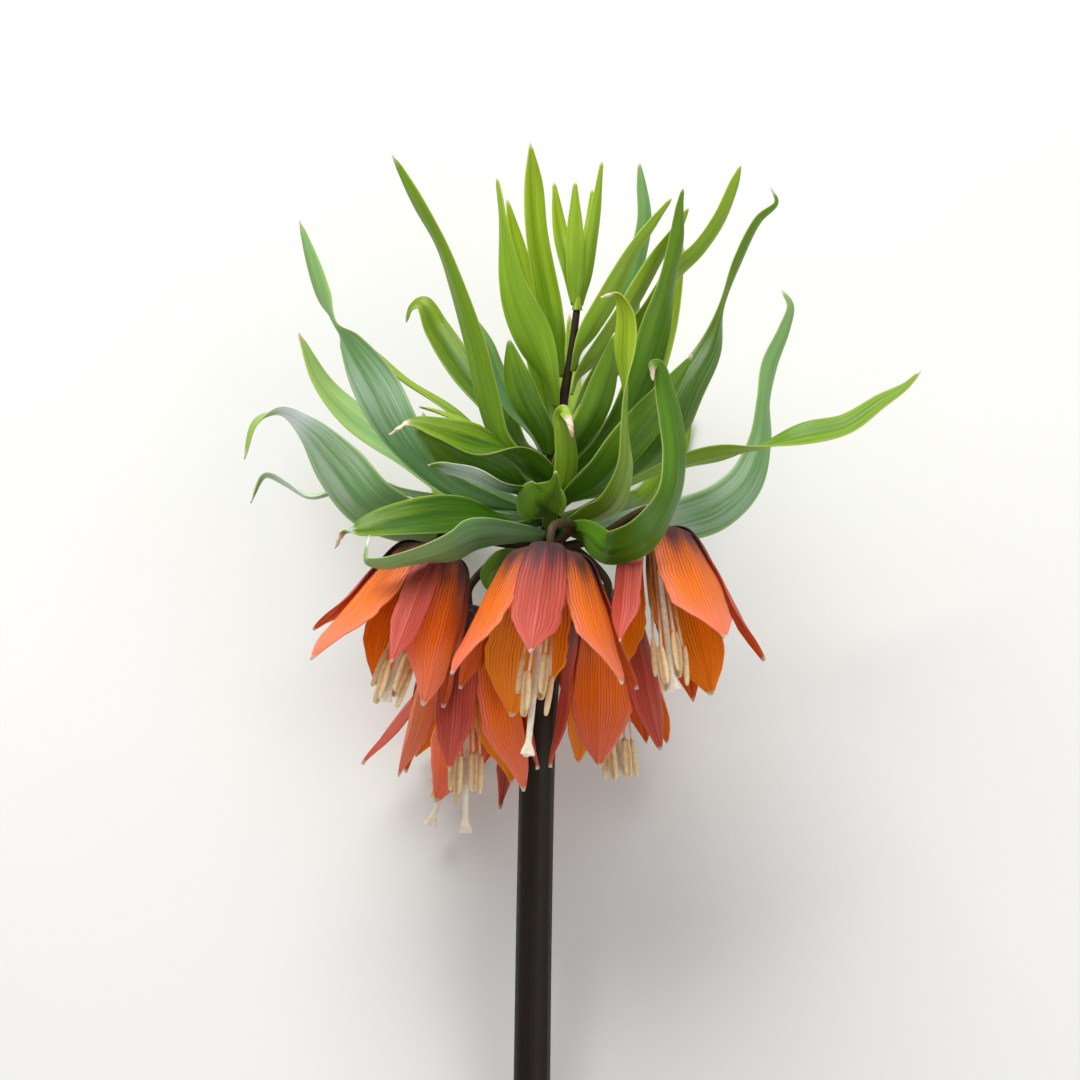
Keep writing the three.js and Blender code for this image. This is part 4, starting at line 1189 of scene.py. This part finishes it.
# ------------------------------------------------------------------ bells
WALL = ((0.15, 0), (0.45, 0.06), (0.64, 0.31), (0.78, 0.55), (0.9, 0.78), (1, 1))  # radius, depth
TEPAL_WIDTH = (0.25, 0.48, 0.69, 0.85, 0.95, 1.0, 1.0, 0.96, 0.78, 0.4, 0.03)  # at even steps
STYLE_TOP = 14.0

# Degrees out of its even place, then opening, reach and breadth as shares of the bell's own.
TepalShape = tuple[float, float, float, float]


@dataclass(frozen=True)
class TepalForm:
    """What sets the three outer tepals apart from the three inner ones.

    Args:
        half_width: As a share of the mouth's radius.
        lift: How far they stand off the bell's wall.
        keel: Height of the midrib.
        columns: Faces across.
    """

    half_width: float
    lift: float
    keel: float
    columns: int


OUTER_FORM = TepalForm(half_width=0.3, lift=1.3, keel=0.5, columns=16)
INNER_FORM = TepalForm(half_width=0.52, lift=0.0, keel=0.3, columns=24)


@dataclass(frozen=True)
class BellFinishes:
    """The materials that the seven bells share.

    Args:
        outer: For the outer tepals.
        inner: For the inner tepals.
        cream: For the stamens and the pistil.
    """

    outer: bpy.types.Material
    inner: bpy.types.Material
    cream: bpy.types.Material


@dataclass
class Bell:
    """A hanging bell of three outer and three inner tepals round six stamens and a pistil.

    Args:
        name: The first part of its solids' names.
        joint: Where the stalk joins it.
        arch: The top of the stalk's arch.
        lean: How far it hangs to the right and towards the front, in degrees.
        turn: The turn of its first outer tepal from the front, in degrees.
        depth: From the joint to the tepals' tips.
        style: How far the style hangs out below them.
        mouth: The mouth's radius.
        tepals: The six tepals' own shapes, the first outer one first and round to the right.
    """

    name: str
    joint: tuple[float, float, float]
    arch: tuple[float, float, float]
    lean: tuple[float, float]
    turn: float
    depth: float
    style: float
    mouth: float
    tepals: tuple[TepalShape, ...]

    def __post_init__(self) -> None:
        """Work out which way the bell hangs."""
        lean, tip = np.radians(self.lean)
        hanging = (np.sin(lean), -np.sin(tip), -np.cos(lean) * np.cos(tip))
        self.axis = unit(np.array(hanging))
        away = np.array(AWAY)
        self.front = unit(self.axis * np.dot(away, self.axis) - away)
        self.right = np.cross(self.front, self.axis)
        self.chance = np.random.default_rng(RANDOM_SEED + len(self.name) + int(self.depth))

    def point(self, angle: Points, radius: Points, depth: Points) -> Points:
        """Give points of the bell from the angle round it, the radius and the depth."""
        angle, radius, depth = np.broadcast_arrays(*np.atleast_1d(angle, radius, depth))
        return (
            np.array(self.joint)
            + self.axis * depth[:, None]
            + self.front * (radius * np.cos(angle))[:, None]
            + self.right * (radius * np.sin(angle))[:, None]
        )

    def tepal(self, place: int) -> bpy.types.Object:
        """Make one tepal.

        Args:
            place: Its place round the bell; the even ones are the outer three.

        Returns:
            The tepal's blade.
        """
        outer = place % 2 == 0
        form = OUTER_FORM if outer else INNER_FORM
        shift, opening, reach, breadth = self.tepals[place]
        middle = math.radians(self.turn + 60 * place + shift)
        half_width = form.half_width * self.mouth * breadth
        wall_line = SmoothLine(WALL, LineKind.EVEN)
        phase, sway = self.chance.uniform(0, 1, 2)

        def wall(along: Points) -> Points:
            """Give the wall's radius and depth."""
            opened = self.mouth * (1 + (opening - 1) * along)
            reached = self.depth * (1 + (reach - 1) * along)
            return wall_line.at(along) * np.column_stack((opened, reached))

        def surface(along: Points, across: Points) -> Points:
            """Give points of the tepal's middle sheet."""
            here = wall(along)
            slope = unit(wall(np.minimum(along + 0.02, 1)) - wall(np.maximum(along - 0.02, 0)))
            ribs = TEPAL_RIB * np.cos(2 * np.pi * TEPAL_RIBS * across) * smooth_step(0, 0.2, along)
            keel = form.keel * bump_at(0, 0.16, across) * smooth_step(0.05, 0.3, along)
            swell = np.sin(2 * np.pi * (TEPAL_WAVES * along + phase + sway * np.sign(across)))
            wave = TEPAL_WAVE * across**2 * swell
            flare = TEPAL_FLARE * smooth_step(0.72, 1, along)
            stand = form.lift + ribs + keel + flare + wave * smooth_step(0.3, 0.6, along)
            radius = here[:, 0] + stand * slope[:, 1]
            depth = here[:, 1] - stand * slope[:, 0]
            bend = radius * 1.05 + 0.4
            side = 0.37 * np.sign(across)
            notches = 0.035 * np.sin(2 * np.pi * (4.3 * along + phase + side)) + 0.025 * np.sin(
                2 * np.pi * (9.7 * along + sway - side)
            )
            width = read_smooth(TEPAL_WIDTH, along) * (1 + notches * smooth_step(0.35, 0.7, along))
            swing = across * half_width * width / bend
            inward = radius - bend * (1 - np.cos(swing))
            sideways = bend * np.sin(swing)
            turned = np.arctan2(sideways, inward)
            return self.point(middle + turned, np.hypot(sideways, inward), depth)

        def zones(along: Points, across: Points) -> Points:
            """Give the tepal's zones: inner face, shoulder, margin and tip."""
            shoulder = 1 - smooth_step(0.18, 0.62, along + 0.03 * np.cos(9 * across))
            stripe = 0.45 * bump_at(0, 0.2 + 0.15 * along, across) * smooth_step(0.35, 0.9, along)
            end = smooth_step(0.55, 1, along)
            if outer:
                margin = 0.6 * np.abs(across) ** 2.2 + 0.35 * end + stripe
            else:
                margin = 0.4 * np.abs(across) ** 3 + 0.6 * end
            tip = smooth_step(0.988, 1, along)
            return np.column_stack((np.zeros_like(along), shoulder, margin, tip))

        return Blade(
            f"{self.name}_tepal_{place}",
            surface,
            zones,
            rows=TEPAL_ROWS,
            columns=form.columns,
            thickness=TEPAL_THICKNESS,
            margin=TEPAL_MARGIN,
        ).build()

    def axial_rod(
        self,
        name: str,
        span: tuple[float, float],
        radius: Callable[[Points, Points], Points],
        sides: int,
        steps: int,
        zones: tuple[float, ...],
    ) -> bpy.types.Object:
        """Make a rod on the bell's axis between two depths.

        Args:
            name: The piece's name.
            span: The depths of its two ends.
            radius: Gives the radius from shares of the length and angles round the axis.
            sides: Faces round the rod.
            steps: Faces along it.
            zones: Its four zone shares.

        Returns:
            The rod.
        """
        line = SmoothLine(self.point(0.0, 0.0, np.linspace(*span, 3)))
        return Rod(name, line, radius, sides, steps, constant_zones(*zones)).build()

    def outer_tepals(self) -> bpy.types.Object:
        """Make the three outer tepals on the dark dome where the stalk ends."""
        dome = self.axial_rod(
            "dome",
            (-2.6, -0.3),
            lambda share, angle: 1.3 + 4.2 * np.sqrt(share),
            sides=24,
            steps=8,
            zones=(0, 1, 0, 0),
        )
        return join([*(self.tepal(place) for place in (0, 2, 4)), dome], f"{self.name}_outer_three")

    def inner_tepals(self) -> bpy.types.Object:
        """Make the three inner tepals on their disc."""
        disc = self.axial_rod(
            "disc",
            (-0.2, 1.0),
            lambda share, angle: np.full_like(share, 5.2),
            sides=24,
            steps=2,
            zones=(1, 0.6, 0, 0),
        )
        return join([*(self.tepal(place) for place in (1, 3, 5)), disc], f"{self.name}_inner_three")

    def anther(self, angle: float, length: float) -> bpy.types.Object:
        """Make one anther: two long pollen sacs with a furrow between them."""
        deselect_all()
        bpy.ops.mesh.primitive_uv_sphere_add(segments=16, ring_count=12, radius=1)
        sac = bpy.context.object
        ball = points_of(sac)
        turn = np.arctan2(ball[:, 1], ball[:, 0])
        ring = np.hypot(ball[:, 0], ball[:, 1]) ** 0.55
        furrow_share = np.abs(np.sin(turn)) ** 8
        side = ANTHER_HALF_WIDTH * ring * np.cos(turn)
        thick = ANTHER_HALF_DEPTH * ring * np.sin(turn) * (1 - ANTHER_FURROW * furrow_share)
        drop = ANTHER_LENGTH / 2 * ball[:, 2]
        tilt = self.chance.uniform(-0.07, 0.07, 2)
        out = self.front * math.cos(angle) + self.right * math.sin(angle)
        round_way = np.cross(self.axis, out)
        middle = self.point(angle, ANTHER_OUT, FILAMENT_TOP + length + ANTHER_LENGTH * 0.38)
        down = unit(self.axis + out * tilt[0] + round_way * tilt[1])
        rows = middle + np.outer(side, round_way) + np.outer(thick, out) + np.outer(drop, down)
        none = np.zeros_like(turn)
        set_zones(sac, np.column_stack((none + 1, 0.7 * furrow_share, none, none)))
        place_points(sac, lay_down(rows))
        bpy.ops.object.shade_smooth()
        return sac

    def stamen(self, number: int) -> list[bpy.types.Object]:
        """Make a filament with its anther."""
        angle = math.radians(30 + 60 * number)
        length = self.depth - FILAMENT_SHORTER + FILAMENT_SPREAD * math.sin(3 * angle + self.turn)
        drops = (FILAMENT_TOP + share * length for share in (0, 0.6, 1))
        line = SmoothLine(
            [self.point(angle, radius, drop)[0] for radius, drop in zip((1.6, 3.4, 4.6), drops)]
        )

        def zones(share: Points, turn: Points) -> Points:
            """Give the filament's zones: painted shade in brown over the half at its foot, deep in the
            bell, fading out towards the anther.
            """
            # painted shade: brown where the filament runs up into the bell's shadow
            painted_shade = 1 - smooth_step(0.5, 1, share)
            return np.column_stack((0.4 + share * 0, painted_shade, share * 0, share * 0))

        def radius(share: Points, turn: Points) -> Points:
            """Give the filament's radius."""
            return FILAMENT_RADIUS - FILAMENT_TAPER * share

        filament = Rod("filament", line, radius, sides=8, steps=12, zones=zones).build()
        return [filament, self.anther(angle, length)]

    def pistil(self) -> list[bpy.types.Object]:
        """Make the six-ribbed ovary, the long style and its three-lobed stigma."""
        tip = self.depth + self.style
        ovary = self.axial_rod(
            "ovary",
            (1.4, STYLE_TOP),
            lambda share, angle: read_smooth(OVARY_RADII, share) * (1 + 0.08 * np.cos(6 * angle)),
            sides=24,
            steps=10,
            zones=(0, 1, 0, 0),
        )
        flare = tip - STIGMA_LENGTH

        def style_radius(share: Points, angle: Points) -> Points:
            """Give the style's radius, which widens into the stigma's three lobes."""
            depth = STYLE_TOP - 1 + share * (tip - STYLE_TOP + 1)
            spread = smooth_step(flare, tip, depth)
            return STYLE_RADIUS + spread * (0.9 + 0.75 * np.cos(3 * angle)) + 0.15 * (1 - share)

        style = self.axial_rod(
            "style", (STYLE_TOP - 1, tip), style_radius, sides=24, steps=40, zones=(0, 0, 0, 0)
        )
        return [ovary, style]

    def stamens(self) -> bpy.types.Object:
        """Make all that stands inside the bell as one piece."""
        seat = self.axial_rod(
            "seat",
            (1.2, 2.8),
            lambda share, angle: np.full_like(share, 2.5),
            sides=16,
            steps=2,
            zones=(0, 1, 0, 0),
        )
        inside = [piece for number in range(6) for piece in self.stamen(number)]
        return join([seat, *self.pistil(), *inside], f"{self.name}_stamens_and_pistil")

    def stalk(self) -> bpy.types.Object:
        """Make the stalk that arches from the umbel to the bell."""
        x, y, _ = self.joint
        start = (2 + 0.05 * x, 0.05 * y, -1)
        line = SmoothLine([start, self.arch, *self.point(0.0, 0.0, np.array([-8.0, -2.1]))])
        return Rod(
            "stalk",
            line,
            lambda share, angle: 1.6 - 0.3 * share,
            sides=14,
            steps=28,
            zones=constant_zones(0.4, 0, 0, 0),
        ).build()

    def build(self, finishes: BellFinishes) -> list[bpy.types.Object]:
        """Make and dress the bell's three pieces."""
        return [
            dress(self.outer_tepals(), finishes.outer, [f"{self.name}_outer_tepals"]),
            dress(self.inner_tepals(), finishes.inner, [f"{self.name}_inner_tepals"]),
            dress(self.stamens(), finishes.cream, [f"{self.name}_stamens"]),
        ]


BELLS = (
    Bell("bell_front", (1.2, -51, -2.3), (9, -21, 6), (-6, 17), -3, 45, 21, 27, (
        (-1, 1.19, 0.96, 1), (2, 1.09, 0.99, 1), (-18, 1.115, 0.91, 0.8),
        (16, 0.97, 1.07, 1), (-3, 0.98, 0.97, 0.95), (-4, 1, 1.02, 0.95),
    )),
    Bell("bell_front_left", (-25, -17, -22), (-10, -7, -1), (-1, 2), -8, 54, 18, 22, (
        (-3, 1.02, 0.95, 1), (0, 1.03, 1.07, 1), (-1, 1.03, 0.96, 1),
        (-32, 0.99, 1.055, 1), (0, 1.06, 1, 1), (0, 1, 1, 1),
    )),
    Bell("bell_front_right", (21, -11, -20), (9, -6, -1), (4, 2), -77, 52, 4, 21, (
        (0, 1, 1, 1), (-2, 1, 1, 1), (-8, 0.96, 0.93, 1),
        (13, 0.82, 0.9, 1), (-8, 0.99, 0.91, 1), (0, 0.88, 1, 1),
    )),
    Bell("bell_left", (-35, -36, -2), (-16, -17, 1), (-18, 17), -4, 46, 6, 24, (
        (2, 1.03, 1.02, 0.7), (-14, 0.695, 1.145, 1), (0, 0.74, 1, 1),
        (17, 0.69, 0.97, 1), (26, 1.12, 0.82, 1), (4, 1.175, 1.105, 1),
    )),
    Bell("bell_right", (35, -35, 4), (16, -16, 2), (6, 19), -40, 45, 8, 24, (
        (4, 0.995, 0.94, 0.8), (18, 1.085, 0.99, 1), (13, 1.14, 1.045, 1),
        (10, 1.025, 1.11, 1), (-34, 1.125, 1.115, 1), (-6, 0.62, 1, 1),
    )),
    Bell("bell_back_left", (-11.5, 22, -27), (-7, 9, -1), (-22, -6), 40, 58, 17, 21, (
        (10, 1.12, 1, 1), (4, 0.9, 1, 1), (0, 0.96, 1, 1),
        (0, 0.92, 1, 1), (4, 1.31, 1.095, 1), (18, 1.125, 1.075, 1),
    )),
    Bell("bell_back_right", (14, 20, -14), (6, 9, 0), (1, -18), 180, 46, 10, 20, (
        (0, 0.96, 1, 1), (0, 0.92, 1, 1), (0, 0.98, 1, 1),
        (0, 0.9, 1, 1), (0, 0.98, 1, 1), (0, 0.92, 1, 1),
    )),
)


# ------------------------------------------------------------------ the stem
@dataclass
class Stem:
    """The thick bare stem, the thin axis that goes on through the leaves, and the stalks.

    Args:
        bells: The bells whose stalks it carries.
        line: The thick stem's middle line.
        radii: Its radius at shares of its length.
        skin: Thickness of the dark skin round the pith, as the cut end shows it.
    """

    bells: Sequence[Bell]
    line: tuple[tuple[float, float, float], ...] = (
        (-5, 0, -STEM_BELOW_UMBEL),
        (-3.6, 0, -120),
        (-2, 0, -60),
        (1, 0, -18),
        (2, 0, 6),
    )
    radii: tuple[tuple[float, float], ...] = (
        (0, STEM_RADIUS), (0.8, 5.8), (0.93, 5.2), (0.97, 4.1), (1, 3.8)
    )
    skin: float = 0.7

    def thick_stem(self) -> bpy.types.Object:
        """Make the thick stem with its pale cut end."""

        def zones(share: Points, angle: Points) -> Points:
            """Give the stem's zones, a little paler towards the top."""
            return np.column_stack((0.15 * share, share * 0, share * 0, share * 0))

        def radius(share: Points, angle: Points) -> Points:
            """Give the stem's radius with its faint ridges."""
            ridges = 1 + 0.012 * np.cos(7 * angle) + 0.01 * np.sin(11 * angle + 6 * share)
            return read_straight(self.radii, share) * ridges

        line = SmoothLine(self.line)
        rod = Rod("thick_stem", line, radius, sides=40, steps=60, zones=zones).build()
        self.bare_pith(rod)
        return rod

    def from_cut(self, rod: bpy.types.Object) -> Points:
        """Give each point's distance from the middle of the cut end, in millimetres."""
        return np.linalg.norm(points_of(rod) - lay_down(np.array([self.line[0]])), axis=1) / MM

    def bare_pith(self, rod: bpy.types.Object) -> None:
        """Set a disc of pale pith into the cut end, inside a thin rim of skin."""
        near = self.from_cut(rod) < STEM_RADIUS * 1.1
        for face in rod.data.polygons:
            face.select = all(near[index] for index in face.vertices)
        bpy.context.tool_settings.mesh_select_mode = (False, False, True)
        bpy.ops.object.mode_set(mode="EDIT")
        bpy.ops.mesh.inset(thickness=self.skin * MM)
        bpy.ops.object.mode_set(mode="OBJECT")
        marked = zones_of(rod)
        marked[self.from_cut(rod) < STEM_RADIUS - self.skin / 2, 1] = 1
        set_zones(rod, marked)

    def thin_axis(self) -> bpy.types.Object:
        """Make the thin axis that carries the upper leaves."""
        heights = np.array([AXIS_START, 12, 26, 40, 52, 62, AXIS_TOP])
        line = SmoothLine(np.column_stack((axis_x(heights), heights * 0, heights)))

        def radius(share: Points, angle: Points) -> Points:
            """Give the axis's radius."""
            height = AXIS_START + share * (AXIS_TOP - AXIS_START)
            return axis_radius(height) * (1 + 0.02 * np.cos(5 * angle))

        zones = constant_zones(0.2, 0, 0, 0)
        return Rod("thin_axis", line, radius, sides=20, steps=40, zones=zones).build()

    def build(self, material: bpy.types.Material) -> bpy.types.Object:
        """Make and dress the whole stem."""
        stalks = [bell.stalk() for bell in self.bells]
        whole = join([self.thick_stem(), self.thin_axis(), *stalks], "whole_stem")
        return dress(whole, material, ["stem"])


# ------------------------------------------------------------------ floor, light and camera
@dataclass(frozen=True)
class Lamp:
    """A soft square lamp.

    Args:
        name: Its name.
        place: Where it hangs, in metres.
        power: In watts.
    """

    name: str
    place: tuple[float, float, float]
    power: float


@dataclass(frozen=True)
class Stage:
    """A pale floor, soft light and a camera that looks down on the lying plant.

    Args:
        aim: The point of the upright plant that the camera looks at.
        distance: From there to the camera.
        lens: Focal length.
        sensor: Width of the sensor.
        floor_side: Side of the floor.
        lamp_side: Side of a lamp's square, in metres.
        lamp_aim: Where the lamps look, in metres.
        lamps: The lamps.
    """

    aim: tuple[float, float, float] = (-1.67, 0.0, 1.67)
    distance: float = 1000.0
    lens: float = 100.0
    sensor: float = 36.0
    floor_side: float = 6000.0
    lamp_side: float = 1.0
    lamp_aim: tuple[float, float, float] = (0.0, 0.05, 0.06)
    lamps: tuple[Lamp, ...] = (
        Lamp("key_lamp", (-0.35, 1.0, 0.95), power=22.0),
        Lamp("fill_lamp", (0.8, -0.7, 0.9), power=5.0),
    )

    def floor(self) -> bpy.types.Object:
        """Lay the floor."""
        deselect_all()
        bpy.ops.mesh.primitive_plane_add(size=self.floor_side * MM, location=(0, 0, 0))
        floor = bpy.context.object
        floor.name = "pale_floor"
        # matt paint: an even pale ground that takes soft shadows and throws nothing back
        material = bpy.data.materials.new("matt_white_paint")
        material.use_nodes = True
        tree = material.node_tree
        tree.nodes.clear()
        place = add_node(tree, "ShaderNodeTexCoord").outputs["Object"]
        grain = add_node(tree, "ShaderNodeTexNoise", {"Vector": place, "Scale": 6.0, "Detail": 2.0})
        type_name, order, output, settings = Kind.MIX.value
        mixed = dict(zip(order, (grain.outputs[0], colour("#e3e2dd"), colour("#e9e8e4"))))
        tone = add_node(tree, type_name, mixed, **settings).outputs[output]
        shader = add_node(tree, "ShaderNodeBsdfPrincipled", {"Base Color": tone, "Roughness": 0.85})
        add_node(tree, "ShaderNodeOutputMaterial", {"Surface": shader.outputs[0]})
        floor.data.materials.append(material)
        return floor

    def sky(self) -> bpy.types.World:
        """Surround the scene with soft pale light."""
        world = bpy.data.worlds.new("pale_room")
        world.use_nodes = True
        world.node_tree.nodes.clear()
        light = add_node(
            world.node_tree, "ShaderNodeBackground", {"Color": colour("#f3f5f8"), "Strength": 0.5}
        )
        add_node(world.node_tree, "ShaderNodeOutputWorld", {"Surface": light.outputs[0]})
        bpy.context.scene.world = world
        return world

    def hang(self, plan: Lamp) -> None:
        """Hang a lamp that looks at the plant."""
        deselect_all()
        bpy.ops.object.light_add(type="AREA", location=plan.place)
        lamp = bpy.context.object
        lamp.name = plan.name
        lamp.data.shape = "SQUARE"
        lamp.data.size = self.lamp_side
        lamp.data.energy = plan.power
        towards = Vector(self.lamp_aim) - Vector(plan.place)
        lamp.rotation_euler = towards.to_track_quat("-Z", "Y").to_euler()

    def camera(self) -> bpy.types.Object:
        """Set the camera."""
        aim = np.array(self.aim)
        rows = np.array([aim, aim + (1, 0, 0), aim + (0, 0, 1), aim - (0, 1, 0)])
        laid = lay_down(rows)
        right, up, back = unit(laid[1:] - laid[0])
        spot = laid[0] + back * self.distance * MM
        turn = Matrix(np.column_stack((right, up, back)).tolist())
        deselect_all()
        bpy.ops.object.camera_add()
        camera = bpy.context.object
        camera.name = "camera"
        camera.data.lens = self.lens
        camera.data.sensor_width = self.sensor
        camera.matrix_world = Matrix.Translation(spot) @ turn.to_4x4()
        bpy.context.scene.camera = camera
        return camera

    def build(self) -> None:
        """Set up the floor, the light and the camera."""
        self.camera()
        self.floor()
        self.sky()
        for plan in self.lamps:
            self.hang(plan)
        bpy.context.scene.view_settings.view_transform = "Standard"


def main() -> None:
    """Build the stage and the plant, and note the sizes."""
    logging.basicConfig(level=logging.INFO, format="%(message)s")
    Stage().build()
    finishes = BellFinishes(BRICK_SKIN.material(), ORANGE_SKIN.material(), CREAM_TISSUE.material())
    for bell in BELLS:
        for piece in bell.build(finishes):
            log.info("%s: %d faces", piece.name, len(piece.data.polygons))
    stem = Stem(BELLS).build(STEM_SKIN.material())
    log.info("%s: %d faces", stem.name, len(stem.data.polygons))
    for leaf in Foliage(LEAF_PLANS, TUFT_PLANS).build():
        log.info("%s: %d faces", leaf.name, len(leaf.data.polygons))


if __name__ == "__main__":
    main()
